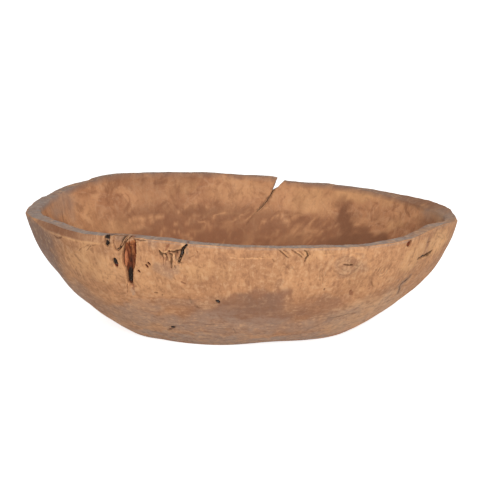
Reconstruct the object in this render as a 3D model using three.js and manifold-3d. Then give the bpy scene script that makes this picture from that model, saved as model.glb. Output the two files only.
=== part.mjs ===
// A hand-hewn oval bowl dug out of one wood burr, with the ingrown bark, pitch and dead knots
// that sit as loose pieces in the pockets of its wall, and a drying split in its back rim.
// Millimetres and degrees, +Z up. The origin is on the table, under the middle of the bowl.
// A bearing turns anticlockwise seen from above: 0 is the right end, 90 the back, 270 the front.
import * as THREE from "three";
import { mergeVertices } from "three/addons/utils/BufferGeometryUtils.js";
import Module from "manifold-3d";

const wasm = await Module();
wasm.setup();

// Overall sizes
const RIM_LENGTH = 430;
const RIM_WIDTH = 320;
const RIM_HEIGHT = 119;
const FOOT_LENGTH = 215;
const FOOT_WIDTH = 153;
const FOOT_SHIFT = -3;
const FOOT_FORWARD = 3.5;

// Wall: thickness, the outward fall and the rounded edges of the rim, and where the two faces bulge
const RIM_WALL_SIDES = 10.5;
const RIM_WALL_ENDS = 13;
const LEFT_SWELL = 3;
const LEFT_SWELL_BEARING = 212;
const LEFT_SWELL_SPREAD = 30;
const RIM_FALL = 0.5;
const EDGE_ROUND = 0.7;
const FLOOR_THICKNESS = 17;
const SHOULDER_IN = 0.2;
const SHOULDER_DOWN = 0.695;
const BELLY_REACH = 0.93;
const BELLY_DOWN = 0.72;
const FLOOR_REACH = 0.6;

// Shallow flats that the adze left on the outside
const HEW_DEPTH = 0.7;
const HEW_FLATS = 17;
const HEW_BANDS = 2.5;

// Where the rim leaves a level oval: out and up are offsets at the bearing, dying away over the spread
const RIM_SWELLS = [
  { place: "high back shoulder", bearing: 126, spread: 38.5, out: -2, up: 10 },
  { place: "raised left flank", bearing: 194, spread: 42, out: -1.7, up: 2 },
  { place: "worn left end", bearing: 175, spread: 19, out: 0, up: -6 },
  { place: "low right end", bearing: 22, spread: 50, out: 0, up: -4.6 },
  { place: "low front right", bearing: 316, spread: 47.5, out: -0.5, up: -8 },
  { place: "hump at the right", bearing: 333, spread: 14, out: -3.5, up: 6 },
  { place: "wave at the knot", bearing: 246, spread: 11, out: 0, up: 2 },
  { place: "dip at the bevel", bearing: 226, spread: 11, out: 0, up: -1.8 },
];

// Bevels worn along the outer edge of the rim: bearings between which they run, and those of their full depth
const BEVELS = [
  { place: "left end", from: 199, full: 211, fade: 237.5, to: 242, drop: 6.8, inset: 3 },
  { place: "right end", from: 342, full: 361, fade: 363, to: 382, drop: 4.5, inset: 3 },
];

// Split in the back rim: a notch at the top that runs on as a leaning crack
const SPLIT_BEARING = 78.1;
const SPLIT_STEP = 3.7;
const SPLIT_STEP_REACH = 60;
const SPLIT_STEP_WIDTH = 1.2;
const SPLIT_MOUTH = 8.6;
const SPLIT_NOTCH = 12;
const SPLIT_NOTCH_LEAN = 7.2;
const SPLIT_DEPTH = 35;
const SPLIT_LEAN = 25;
const SPLIT_BEND = 0.77;
const SPLIT_SLANT = 0.1;
const SPLIT_CRACK = 1.8;
const SPLIT_TIP = 0.8;

// Pieces in the wall: the gap at their seats, and the wood left behind a pocket
const SEAT_GAP = 0.3;
const BACK_WOOD = 4;
const LINING_THICKNESS = 2.2;
const CUTTER_PROUD = 8;

// Facets
const BEARINGS = 96;
const OUTER_RINGS = 11;
const RIM_RINGS = 3;
const INNER_RINGS = 11;

const turnOf = (degrees) => THREE.MathUtils.degToRad(degrees);
const awayFrom = (bearing, centre) => THREE.MathUtils.euclideanModulo(bearing - centre + 180, 360) - 180;
const bell = (bearing, centre, spread) => Math.exp(-((awayFrom(bearing, centre) / spread) ** 2));

function oval(bearing, length, width) {
  const turn = turnOf(bearing);
  return new THREE.Vector3((length / 2) * Math.cos(turn), (width / 2) * Math.sin(turn), 0);
}

// The two flanks of the split stand at different heights
function splitStep(bearing) {
  const away = awayFrom(bearing, SPLIT_BEARING);
  const half = (Math.sign(away) * SPLIT_STEP) / 2;
  const opened = 1 - Math.exp(-Math.abs(away) / SPLIT_STEP_WIDTH);
  return half * opened * bell(bearing, SPLIT_BEARING, SPLIT_STEP_REACH);
}

// The outer edge of the rim in plan, at the height of the rim's top
function rimTop(bearing) {
  const swellOf = (key) =>
    RIM_SWELLS.reduce((sum, swell) => sum + swell[key] * bell(bearing, swell.bearing, swell.spread), 0);
  const edge = oval(bearing, RIM_LENGTH, RIM_WIDTH);
  edge.setLength(edge.length() + swellOf("out"));
  edge.z = RIM_HEIGHT + swellOf("up") + splitStep(bearing);
  return edge;
}

function inward(point, distance) {
  const plan = new THREE.Vector3(point.x, point.y, 0);
  plan.setLength(plan.length() - distance);
  return plan.setZ(point.z);
}

// How much of a bevel's drop or inset is worn at a bearing
function bevelWorn(bearing, key) {
  return BEVELS.reduce((sum, bevel) => {
    const turn = bearing < bevel.to - 360 ? bearing + 360 : bearing;
    const begun = THREE.MathUtils.smoothstep(turn, bevel.from, bevel.full);
    const ended = THREE.MathUtils.smoothstep(turn, bevel.fade, bevel.to);
    return sum + bevel[key] * begun * (1 - ended);
  }, 0);
}

// The wall is thicker at the ends than at the sides, and swells inwards at the left front
function rimWall(bearing) {
  const wall = THREE.MathUtils.lerp(RIM_WALL_SIDES, RIM_WALL_ENDS, Math.cos(turnOf(bearing)) ** 2);
  return wall + LEFT_SWELL * bell(bearing, LEFT_SWELL_BEARING, LEFT_SWELL_SPREAD);
}

// The widest line of the outside, as it ran before the bevels were worn
function outerRidge(bearing) {
  const ridge = rimTop(bearing);
  ridge.z -= RIM_FALL + EDGE_ROUND;
  return ridge;
}

// Where the outside begins under a bevel, as a share of the way down to the foot
function bevelShare(bearing) {
  return bevelWorn(bearing, "drop") / (2 * SHOULDER_DOWN * outerRidge(bearing).z);
}

// Across the top of the rim, which falls outwards: share 0 is its outer edge, 1 its inner edge
function rimFace(bearing, share) {
  const outerEdge = EDGE_ROUND + bevelWorn(bearing, "inset");
  const innerEdge = rimWall(bearing) - EDGE_ROUND;
  const point = inward(rimTop(bearing), THREE.MathUtils.lerp(outerEdge, innerEdge, share));
  point.z -= RIM_FALL * (1 - share);
  return point;
}

// The top of the inner face, under the rounded inner edge
function innerLip(bearing) {
  const lip = inward(rimFace(bearing, 1), EDGE_ROUND);
  lip.z -= EDGE_ROUND;
  return lip;
}

// Down the outside: share 0 is the rim, 1 the edge of the foot
function outerWall(bearing, share) {
  const rim = outerRidge(bearing);
  const foot = oval(bearing, FOOT_LENGTH, FOOT_WIDTH);
  foot.add(new THREE.Vector3(FOOT_SHIFT, -FOOT_FORWARD, 0));
  const shoulder = rim.clone().lerp(foot, SHOULDER_IN);
  shoulder.z = rim.z * (1 - SHOULDER_DOWN);
  const point = new THREE.QuadraticBezierCurve3(rim, shoulder, foot).getPoint(share);
  const flats = Math.cos(HEW_FLATS * turnOf(bearing) + 2 * Math.PI * HEW_BANDS * share);
  return inward(point, HEW_DEPTH * flats * Math.sin(Math.PI * share));
}

// Down the inside: share 0 is the rim, 1 the middle of the floor
function innerWall(bearing, share) {
  const rim = innerLip(bearing);
  const middle = new THREE.Vector3(FOOT_SHIFT, -FOOT_FORWARD, FLOOR_THICKNESS);
  const belly = middle.clone().lerp(rim, BELLY_REACH);
  belly.z = rim.z - (rim.z - FLOOR_THICKNESS) * BELLY_DOWN;
  const floor = middle.clone().lerp(rim, FLOOR_REACH);
  floor.z = FLOOR_THICKNESS;
  return new THREE.CubicBezierCurve3(rim, belly, floor, middle).getPoint(share);
}

// One radial section of the wall, from the edge of the foot over the rim and down to the floor
function wallSection(bearing) {
  const start = bevelShare(bearing);
  const outside = Array.from({ length: OUTER_RINGS }, (_, i) =>
    outerWall(bearing, THREE.MathUtils.lerp(1, start, i / (OUTER_RINGS - 1))),
  );
  const top = Array.from({ length: RIM_RINGS }, (_, i) => rimFace(bearing, i / (RIM_RINGS - 1)));
  const inside = Array.from({ length: INNER_RINGS }, (_, i) => innerWall(bearing, i / INNER_RINGS));
  return [...outside, ...top, ...inside];
}

// The uncut shell: the sections lofted round the bowl and closed at the foot and the floor
function shellGeometry() {
  const sections = Array.from({ length: BEARINGS }, (_, i) => wallSection((360 * i) / BEARINGS));
  const rings = sections[0].length;
  const vertices = sections.flat();
  const underside = vertices.push(new THREE.Vector3(FOOT_SHIFT, -FOOT_FORWARD, 0)) - 1;
  const floor = vertices.push(new THREE.Vector3(FOOT_SHIFT, -FOOT_FORWARD, FLOOR_THICKNESS)) - 1;
  const faces = [];
  for (let i = 0; i < BEARINGS; i++) {
    const here = i * rings;
    const next = ((i + 1) % BEARINGS) * rings;
    faces.push(underside, next, here);
    for (let j = 0; j < rings - 1; j++) {
      faces.push(here + j, next + j, next + j + 1, here + j, next + j + 1, here + j + 1);
    }
    faces.push(here + rings - 1, next + rings - 1, floor);
  }
  return new THREE.BufferGeometry().setFromPoints(vertices).setIndex(faces);
}

function solidOf(geometry) {
  const bare = geometry.clone();
  bare.deleteAttribute("normal");
  bare.deleteAttribute("uv");
  const merged = mergeVertices(bare);
  const vertProperties = new Float32Array(merged.attributes.position.array);
  const triVerts = new Uint32Array(merged.index.array);
  return new wasm.Manifold(new wasm.Mesh({ numProp: 3, vertProperties, triVerts }));
}

function geometryOf(solid) {
  const mesh = solid.getMesh();
  const geometry = new THREE.BufferGeometry();
  geometry.setAttribute("position", new THREE.BufferAttribute(mesh.vertProperties, 3));
  geometry.setIndex(new THREE.BufferAttribute(mesh.triVerts, 1));
  geometry.computeVertexNormals();
  return geometry;
}

// A frame on the outside of the wall, below the rim: X along the wall, Y up it, Z out of it
function wallFrame(bearing, below) {
  const height = rimTop(bearing).z - below;
  let share = 0;
  for (let step = 0.25; step > 1e-5; step /= 2) {
    while (outerWall(bearing, share + step).z > height) share += step;
  }
  const probe = 2;
  const point = outerWall(bearing, share);
  const along = outerWall(bearing + probe, share).sub(outerWall(bearing - probe, share)).normalize();
  const up = outerWall(bearing, share - 0.02).sub(outerWall(bearing, share + 0.02)).normalize();
  const out = new THREE.Vector3().crossVectors(along, up).normalize();
  const squareUp = new THREE.Vector3().crossVectors(out, along);
  return { matrix: new THREE.Matrix4().makeBasis(along, squareUp, out).setPosition(point), out };
}

const turned = (points, turn) => points.map((point) => point.rotateAround(new THREE.Vector2(), turnOf(turn)));

// Egg outline: the long way runs up the wall, a positive taper widens its upper half
function eggOutline({ length, width, taper = 0, turn = 0, right = 0, up = 0, corners = 12 }, grow) {
  const points = Array.from({ length: corners }, (_, i) => {
    const around = (2 * Math.PI * i) / corners;
    const along = (length / 2 + grow) * Math.cos(around);
    const across = -(width / 2 + grow) * Math.sin(around) * (1 + taper * Math.cos(around));
    return new THREE.Vector2(right + across, up + along);
  });
  return new THREE.Shape(turned(points, turn));
}

// Leaf outline: a smooth closed curve through hand-set points, taken anticlockwise
function leafOutline({ edge, turn = 0, corners = 28 }, grow) {
  const curve = new THREE.CatmullRomCurve3(edge.map(([x, y]) => new THREE.Vector3(x, y, 0)), true);
  const points = Array.from({ length: corners }, (_, i) => {
    const { x, y } = curve.getPoint(i / corners);
    const tangent = curve.getTangent(i / corners);
    return new THREE.Vector2(x + tangent.y * grow, y - tangent.x * grow);
  });
  return new THREE.Shape(turned(points, turn));
}

// Seam outline: a ribbon along a smooth path of hand-set points, thin at its two ends
function seamOutline({ path, width, steps = 8 }, grow) {
  const curve = new THREE.SplineCurve(path.map(([x, y]) => new THREE.Vector2(x, y)));
  const side = (sign) =>
    Array.from({ length: steps + 1 }, (_, i) => {
      const share = i / steps;
      const tangent = curve.getTangent(share);
      const half = (width / 2) * (0.25 + 0.75 * Math.sin(Math.PI * share)) + grow;
      const end = (i === 0 ? -1 : i === steps ? 1 : 0) * grow;
      const shift = new THREE.Vector2(-tangent.y, tangent.x).multiplyScalar(sign * half);
      return curve.getPoint(share).add(shift).addScaledVector(tangent, end);
    });
  return new THREE.Shape([...side(-1), ...side(1).reverse()]);
}

// A prism of an outline in a wall frame, between two depths under the surface
function wallPrism(frame, outline, deep, shallow) {
  const prism = new THREE.ExtrudeGeometry(outline, { depth: deep - shallow, bevelEnabled: false, curveSegments: 8 });
  return solidOf(prism.translate(0, 0, -deep).applyMatrix4(frame.matrix));
}

const FINISH = {
  wood: { color: 0xb98a60, roughness: 0.72, metalness: 0 },
  knot: { color: 0xb37f55, roughness: 0.75, metalness: 0 },
  bark: { color: 0x7c3f26, roughness: 0.85, metalness: 0 },
  slip: { color: 0xa9633b, roughness: 0.8, metalness: 0 },
  pitch: { color: 0x241c19, roughness: 0.6, metalness: 0 },
};

function meshOf(name, solid, finish) {
  const mesh = new THREE.Mesh(geometryOf(solid), new THREE.MeshStandardMaterial(FINISH[finish]));
  mesh.name = name;
  return mesh;
}

const bowl = new THREE.Group();
const shell = solidOf(shellGeometry());
const pocketDepth = RIM_WALL_SIDES - BACK_WOOD;
let body = shell;

function cutPocket(frame, outline, deep) {
  body = body.subtract(wallPrism(frame, outline, deep, -CUTTER_PROUD));
}

// A piece fills its outline down to a depth, and its face lies under the surface by the recess
function addPiece(name, finish, frame, outline, deep, recess) {
  const sunk = shell.translate(frame.out.clone().multiplyScalar(-recess).toArray());
  bowl.add(meshOf(name, wallPrism(frame, outline, deep, -CUTTER_PROUD).intersect(sunk), finish));
}

// Split: notch and crack are one leaning blade through the wall
function splitBlade() {
  const above = SPLIT_STEP + CUTTER_PROUD;
  const notch = new THREE.Vector2(-SPLIT_NOTCH_LEAN, -SPLIT_NOTCH);
  const tip = new THREE.Vector2(-SPLIT_LEAN, -SPLIT_DEPTH);
  const bend = new THREE.Vector2((notch.x + tip.x) / 2, THREE.MathUtils.lerp(notch.y, tip.y, SPLIT_BEND));
  const outline = new THREE.Shape();
  outline.moveTo(-SPLIT_MOUTH / 2, above);
  outline.lineTo(-SPLIT_MOUTH / 2, 0);
  outline.lineTo(notch.x - SPLIT_CRACK / 2, notch.y);
  outline.quadraticCurveTo(bend.x - SPLIT_CRACK / 2, bend.y, tip.x - SPLIT_TIP / 2, tip.y);
  outline.lineTo(tip.x + SPLIT_TIP / 2, tip.y);
  outline.quadraticCurveTo(bend.x + SPLIT_CRACK / 2, bend.y, notch.x + SPLIT_CRACK / 2, notch.y);
  outline.lineTo(SPLIT_MOUTH / 2, -SPLIT_STEP / 2);
  outline.lineTo(SPLIT_MOUTH / 2, above);
  const top = rimTop(SPLIT_BEARING);
  const out = new THREE.Vector3(top.x, top.y, 0).normalize();
  const along = new THREE.Vector3(out.y, -out.x, 0);
  const reach = SPLIT_DEPTH + RIM_WALL_ENDS;
  const blade = new THREE.ExtrudeGeometry(outline, { depth: 2 * reach, bevelEnabled: false, curveSegments: 6 });
  const through = along.clone().multiplyScalar(SPLIT_SLANT).sub(out);
  const upright = new THREE.Matrix4().makeBasis(along, new THREE.Vector3(0, 0, 1), through);
  return solidOf(blade.translate(0, 0, -reach).applyMatrix4(upright.setPosition(top)));
}
body = body.subtract(splitBlade());

// Dead knot at the front rim, held in a cup of dark bark
const rimKnot = {
  bearing: 238.6,
  below: 4.2,
  length: 26,
  width: 10.6,
  taper: 0.45,
  turn: -17,
  right: 0.2,
  up: 4.5,
  corners: 16,
};
const KNOT_BARK = 1.4;
const knotFrame = wallFrame(rimKnot.bearing, rimKnot.below);
const knotSeat = eggOutline(rimKnot, SEAT_GAP);
const cupOutline = eggOutline(rimKnot, SEAT_GAP + KNOT_BARK);
cutPocket(knotFrame, eggOutline(rimKnot, 2 * SEAT_GAP + KNOT_BARK), pocketDepth);
const cupHollow = wallPrism(knotFrame, knotSeat, pocketDepth, -CUTTER_PROUD);
const cup = wallPrism(knotFrame, cupOutline, pocketDepth - SEAT_GAP, -CUTTER_PROUD).subtract(cupHollow);
const cupSunk = shell.translate(knotFrame.out.clone().multiplyScalar(-0.8).toArray());
bowl.add(meshOf("rim_knot_bark", cup.intersect(cupSunk), "pitch"));
addPiece("rim_knot", "knot", knotFrame, eggOutline(rimKnot, 0), pocketDepth - SEAT_GAP, 0.2);

// Long bark pocket: a bark lining on its floor carries a standing slip of bark and a pitch core
const longPocket = {
  bearing: 241.1,
  below: 24.1,
  edge: [[5.8, 23.6], [2, 21.8], [-1.7, 16.6], [-4.7, 7], [-6.4, -2.7], [-5.3, -7.9], [-5.2, -15.4], [-6.2, -22.5],
    [-4.6, -25], [-1.9, -22.7], [0.6, -11.8], [4.9, -1.9], [7.8, 8.9], [9.1, 18.3], [8.2, 22.6]],
};
const INSERT_LEAN = -11;
const standingSlip = { length: 18.5, width: 2.8, right: -3.7, up: 2, turn: INSERT_LEAN };
const pitchCore = { length: 23, width: 3.8, taper: -0.4, right: 0.4, up: -12.5, turn: INSERT_LEAN };
const pocketFrame = wallFrame(longPocket.bearing, longPocket.below);
const liningFace = pocketDepth - SEAT_GAP - LINING_THICKNESS;
cutPocket(pocketFrame, leafOutline(longPocket, SEAT_GAP), pocketDepth);
const lining = wallPrism(pocketFrame, leafOutline(longPocket, 0), pocketDepth - SEAT_GAP, liningFace);
bowl.add(meshOf("pocket_bark_lining", lining, "bark"));
const seatOnLining = liningFace - SEAT_GAP;
addPiece("pocket_bark_slip", "slip", pocketFrame, eggOutline(standingSlip, 0), seatOnLining, 1.2);
addPiece("pocket_pitch_core", "pitch", pocketFrame, eggOutline(pitchCore, 0), seatOnLining, 2);

// Plugs of ingrown bark, pitch and pin knots, each in a pocket of its own
const PLUGS = [
  { name: "rim_bark_wedge", finish: "pitch", bearing: 235, below: 3.8, length: 12.8, width: 4.4, up: 0.6 },
  { name: "oval_bark_plug", finish: "bark", bearing: 236.5, below: 25.7, length: 9, width: 4, taper: 0.1, turn: -2 },
  { name: "pin_knot_low", finish: "bark", bearing: 242.9, below: 33.1, length: 2.4, width: 2.2 },
  { name: "pin_knot_mid", finish: "bark", bearing: 245.6, below: 27.1, length: 3.6, width: 1.8, turn: 30 },
  { name: "pin_knot_high", finish: "bark", bearing: 246.3, below: 24.4, length: 3, width: 1.8, turn: 40 },
  { name: "right_pin_knot", finish: "bark", bearing: 316.3, below: 4.8, length: 6, width: 5.4, taper: 0.4, turn: 15 },
  { name: "low_pitch_plug", finish: "pitch", bearing: 245.8, below: 95, length: 3, width: 4 },
  { name: "middle_pitch_plug", finish: "pitch", bearing: 263.7, below: 56.3, length: 4.2, width: 2.6, turn: 35 },
];
const PLUG_RECESS = 0.6;
const SEAMS = [
  {
    name: "burr_bark_seam",
    bearing: 255.6,
    below: 9,
    width: 1.8,
    path: [[4, 6.6], [2.4, 5.4], [1.1, 2.4], [0, -1.6], [-1.4, -6.5], [-3.5, -10], [-5.3, -12.3]],
  },
  {
    name: "right_bark_seam",
    bearing: 328.5,
    below: 26.8,
    width: 2.4,
    path: [[-12, 0], [-5.8, -0.4], [1.5, 0], [12.5, 0.8]],
  },
];
const SEAM_RECESS = 0.8;

for (const plug of PLUGS) {
  const frame = wallFrame(plug.bearing, plug.below);
  cutPocket(frame, eggOutline(plug, SEAT_GAP), pocketDepth);
  addPiece(plug.name, plug.finish, frame, eggOutline(plug, 0), pocketDepth - SEAT_GAP, PLUG_RECESS);
}
for (const seam of SEAMS) {
  const frame = wallFrame(seam.bearing, seam.below);
  cutPocket(frame, seamOutline(seam, SEAT_GAP), pocketDepth);
  addPiece(seam.name, "pitch", frame, seamOutline(seam, 0), pocketDepth - SEAT_GAP, SEAM_RECESS);
}

bowl.add(meshOf("bowl_body", body, "wood"));

export default bowl;
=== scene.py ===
import bmesh
import bpy
import numpy as np
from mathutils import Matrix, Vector


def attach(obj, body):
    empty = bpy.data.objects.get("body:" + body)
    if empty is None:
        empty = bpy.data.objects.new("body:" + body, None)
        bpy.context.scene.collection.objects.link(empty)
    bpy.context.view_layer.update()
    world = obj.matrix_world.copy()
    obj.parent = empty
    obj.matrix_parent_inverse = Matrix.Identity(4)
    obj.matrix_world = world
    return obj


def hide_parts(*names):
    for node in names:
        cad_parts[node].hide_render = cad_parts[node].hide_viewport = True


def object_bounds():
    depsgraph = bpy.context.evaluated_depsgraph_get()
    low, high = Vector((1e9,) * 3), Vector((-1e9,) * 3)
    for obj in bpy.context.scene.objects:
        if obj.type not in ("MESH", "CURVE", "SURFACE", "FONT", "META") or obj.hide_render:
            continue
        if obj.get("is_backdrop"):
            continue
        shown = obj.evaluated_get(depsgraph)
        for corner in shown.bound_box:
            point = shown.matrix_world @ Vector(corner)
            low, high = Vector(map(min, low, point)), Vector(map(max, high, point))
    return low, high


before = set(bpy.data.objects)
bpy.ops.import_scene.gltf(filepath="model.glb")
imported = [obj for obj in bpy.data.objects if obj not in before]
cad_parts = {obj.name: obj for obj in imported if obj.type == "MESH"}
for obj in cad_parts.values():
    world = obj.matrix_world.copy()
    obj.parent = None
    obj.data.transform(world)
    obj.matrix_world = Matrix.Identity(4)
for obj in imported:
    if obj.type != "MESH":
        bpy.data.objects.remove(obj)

cad_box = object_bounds()

MM = 0.001

# Overall sizes
RIM_LENGTH = 430
RIM_WIDTH = 320
RIM_HEIGHT = 119
FOOT_LENGTH = 215
FOOT_WIDTH = 153
FOOT_SHIFT = -3
FOOT_FORWARD = 3.5

# Wall: thickness, the outward fall and the rounded edges of the rim, and where the two faces bulge
RIM_WALL_SIDES = 10.5
RIM_WALL_ENDS = 13
LEFT_SWELL = 3
LEFT_SWELL_BEARING = 212
LEFT_SWELL_SPREAD = 30
RIM_FALL = 0.5
EDGE_ROUND = 0.7
FLOOR_THICKNESS = 17
SHOULDER_IN = 0.2
SHOULDER_DOWN = 0.695
BELLY_REACH = 0.93
BELLY_DOWN = 0.72
FLOOR_REACH = 0.6

# Shallow flats that the adze left on the outside
HEW_DEPTH = 0.7
HEW_FLATS = 17
HEW_BANDS = 2.5

# Where the rim leaves a level oval: bearing and spread in degrees, then how far out and up
RIM_SWELLS = {
    "high back shoulder": (126, 38.5, -2, 10),
    "raised left flank": (194, 42, -1.7, 2),
    "worn left end": (175, 19, 0, -6),
    "low right end": (22, 50, 0, -4.6),
    "low front right": (316, 47.5, -0.5, -8),
    "hump at the right": (333, 14, -3.5, 6),
    "wave at the knot": (246, 11, 0, 2),
    "dip at the bevel": (226, 11, 0, -1.8),
}

# Bevels worn along the outer edge of the rim: bearings between which they run, those of their full depth
# in the middle, and how far down and in they go
BEVELS = {
    "left end": (199, 211, 237.5, 242, 6.8, 3),
    "right end": (342, 361, 363, 382, 4.5, 3),
}

# Split in the back rim: a notch at the top that runs on as a leaning, slanted crack, the steps down and
# through the blade that cuts it, and the distance at which corners of the cut are welded
SPLIT_BEARING = 78.1
SPLIT_STEP = 3.7
SPLIT_STEP_REACH = 60
SPLIT_STEP_WIDTH = 1.2
SPLIT_MOUTH = 8.6
SPLIT_NOTCH = 12
SPLIT_NOTCH_LEAN = 7.2
SPLIT_DEPTH = 35
SPLIT_LEAN = 25
SPLIT_BEND = 0.77
SPLIT_SLANT = 0.1
SPLIT_CRACK = 1.8
SPLIT_TIP = 0.8
SPLIT_CROOK = 5
BLADE_STEPS = 14
BLADE_RINGS = 41
CUT_WELD = 0.02

# Low swells of the outside: bearing and spread, height above the table and reach, and how far out
WALL_SWELLS = {
    "low right belly": (326, 15, 8, 20, 1.4),
    "low left belly": (213, 12, 4, 16, 1.8),
    "right flank": (346, 16, 68, 30, 1.4),
    "left flank": (197, 10, 56, 24, -2),
}

# The foot's edge is worn away at the front: bearing, spread and how far up
FOOT_WEAR_BEARING = 287
FOOT_WEAR_SPREAD = 19
FOOT_WEAR = 3

# The rim is worn round at the right end: bearing, spread and how far down
ROUND_END_BEARING = 14
ROUND_END_SPREAD = 25
ROUND_END = 5.5

# Small lifts of the rim: the bearings between which each runs, how soft its two ends are, and how far up
RIM_LIFTS = {
    "back right": (48, 66, 6, 6, 1),
    "back left": (131, 138.5, 14, 2.5, 1.8),
    "left end": (165, 178, 4, 4, 1.5),
    "right end": (354, 370, 6, 16, 1.6),
}

# Pockets in the wall: the gap round a piece, the depth, the worn edge of the mouth, and how far round an
# outline on the wall its traces are looked for
SEAT_GAP = 0.3
POCKET_DEPTH = 6.5
POCKET_LIP = 0.5
TRACE_REACH = 12

# The skin: columns round the rim, rows in each stretch of the wall's section, and steps in a refined cell
COLUMNS = 384
SKIN_ROWS = {"foot": 6, "wall": 50, "bevel": 2, "rim": 4, "lip": 1, "inside": 42}
FINE = 8
HALF_FINE = FINE // 2

# Small rings of the skin have fewer columns: the widest cell as a share of one at the rim, the smallest ring
# as a share of the rim, and how often a cell's width is doubled at most
WIDEST_CELL = 1.3
SMALLEST_RING = 0.02
MOST_DOUBLINGS = 5

# Bearings of the back and the front, and how far round and down the upper front has smaller cells
BACK = 90
FRONT = 270
FRONT_REACH = 80
FRONT_DEPTH = 60


# Noise

def lattice(cells, seed):
    """A fixed value from -1 to 1 for each whole-numbered cell."""
    x, y, z = cells.astype(np.int64).T
    mixed = (x * 73856093 ^ y * 19349663 ^ z * 83492791 ^ seed * 40503) & 0xFFFFFFFF
    for _ in range(2):
        mixed = ((mixed ^ (mixed >> 16)) * 0x45D9F3B) & 0xFFFFFFFF
    return (mixed ^ (mixed >> 16)) / 0x7FFFFFFF - 1


def cloud(points, size, seed, layers=1):
    """Smooth noise of about -1 to 1 with lumps of a size; each further layer is half as big and as strong."""
    total = np.zeros(len(points))
    for layer in range(layers):
        scaled = points / np.asarray(size) * 2**layer
        base = np.floor(scaled)
        ease = scaled - base
        ease = ease * ease * (3 - 2 * ease)
        for corner in np.ndindex(2, 2, 2):
            weight = np.prod(np.where(corner, ease, 1 - ease), axis=1)
            total += weight * lattice(base + corner, seed + layer) / 2**layer
    return total


def in_plane(x, y):
    """Points of a flat plane, for noise that runs along it."""
    return np.stack([x, y, 0 * x], axis=1)


def smooth(value, low, high):
    """0 below low, 1 above high, with an eased step between them."""
    share = np.clip((value - low) / (high - low), 0, 1)
    return share * share * (3 - 2 * share)


# The section of the wall

def away_from(bearing, centre):
    return (bearing - centre + 180) % 360 - 180


def bell(distance, spread):
    return np.exp(-((distance / spread) ** 2))


def near_bearing(bearing, centre, spread):
    """1 at a bearing, falling to 0 on both sides of it."""
    return bell(away_from(bearing, centre), spread)


def oval(bearing, length, width):
    turn = np.radians(bearing)
    return np.stack([length / 2 * np.cos(turn), width / 2 * np.sin(turn), 0 * turn], axis=-1)


def inward(points, distance):
    share = 1 - distance / np.hypot(points[:, 0], points[:, 1])
    return points * np.stack([share, share, np.ones_like(share)], axis=-1)


def split_step(bearing):
    """The two flanks of the split stand at different heights."""
    away = away_from(bearing, SPLIT_BEARING)
    opened = 1 - np.exp(-np.abs(away) / SPLIT_STEP_WIDTH)
    return np.sign(away) * SPLIT_STEP / 2 * opened * bell(away, SPLIT_STEP_REACH)


def rim_top(bearing):
    """The outer edge of the rim in plan, at the height of the rim's top."""
    out = np.zeros(len(bearing))
    up = split_step(bearing)
    for centre, spread, swell_out, swell_up in RIM_SWELLS.values():
        swell = near_bearing(bearing, centre, spread)
        out += swell_out * swell
        up += swell_up * swell
    edge = inward(oval(bearing, RIM_LENGTH, RIM_WIDTH), -out)
    edge[:, 2] = RIM_HEIGHT + up
    return edge


def bevel_worn(bearing):
    """How far down and in the bevels are worn."""
    drop = np.zeros(len(bearing))
    inset = np.zeros(len(bearing))
    for start, full, fade, end, deep, wide in BEVELS.values():
        turn = np.where(bearing < end - 360, bearing + 360, bearing)
        worn = smooth(turn, start, full) * (1 - smooth(turn, fade, end))
        drop += deep * worn
        inset += wide * worn
    return drop, inset


def rim_wall(bearing):
    """The wall is thicker at the ends than at the sides, and swells inwards at the left front."""
    wall = RIM_WALL_SIDES + (RIM_WALL_ENDS - RIM_WALL_SIDES) * np.cos(np.radians(bearing)) ** 2
    return wall + LEFT_SWELL * near_bearing(bearing, LEFT_SWELL_BEARING, LEFT_SWELL_SPREAD)


def right_end(bearing):
    """1 in the middle of the rounded right end, falling to 0 away from it."""
    return near_bearing(bearing, ROUND_END_BEARING, ROUND_END_SPREAD)


def outer_ridge(bearing):
    """The widest line of the outside, as it ran before the bevels were worn."""
    ridge = rim_top(bearing)
    ridge[:, 2] -= RIM_FALL + EDGE_ROUND
    return ridge


def bevel_share(bearing):
    """Where the outside begins under a bevel, as a share of the way down to the foot."""
    return bevel_worn(bearing)[0] / (2 * SHOULDER_DOWN * outer_ridge(bearing)[:, 2])


def rim_face(bearing, share):
    """Across the top of the rim, which falls outwards: share 0 is its outer edge, 1 its inner edge."""
    outer_edge = EDGE_ROUND + bevel_worn(bearing)[1]
    inner_edge = rim_wall(bearing) - EDGE_ROUND
    points = inward(rim_top(bearing), outer_edge + (inner_edge - outer_edge) * share)
    points[:, 2] -= RIM_FALL * (1 - share)
    return points


def inner_lip(bearing):
    """The top of the inner face, under the rounded inner edge."""
    lip = inward(rim_face(bearing, np.ones_like(bearing)), EDGE_ROUND)
    lip[:, 2] -= EDGE_ROUND
    return lip


def outer_wall(bearing, share):
    """Down the outside: share 0 is the rim, 1 the edge of the foot."""
    rim = outer_ridge(bearing)
    foot = oval(bearing, FOOT_LENGTH, FOOT_WIDTH)
    foot += np.array([FOOT_SHIFT, -FOOT_FORWARD, 0])
    shoulder = rim + (foot - rim) * SHOULDER_IN
    shoulder[:, 2] = rim[:, 2] * (1 - SHOULDER_DOWN)
    s = share[:, None]
    points = rim * (1 - s) ** 2 + shoulder * 2 * s * (1 - s) + foot * s**2
    flats = np.cos(HEW_FLATS * np.radians(bearing) + 2 * np.pi * HEW_BANDS * share)
    return inward(points, HEW_DEPTH * flats * np.sin(np.pi * share))


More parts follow.
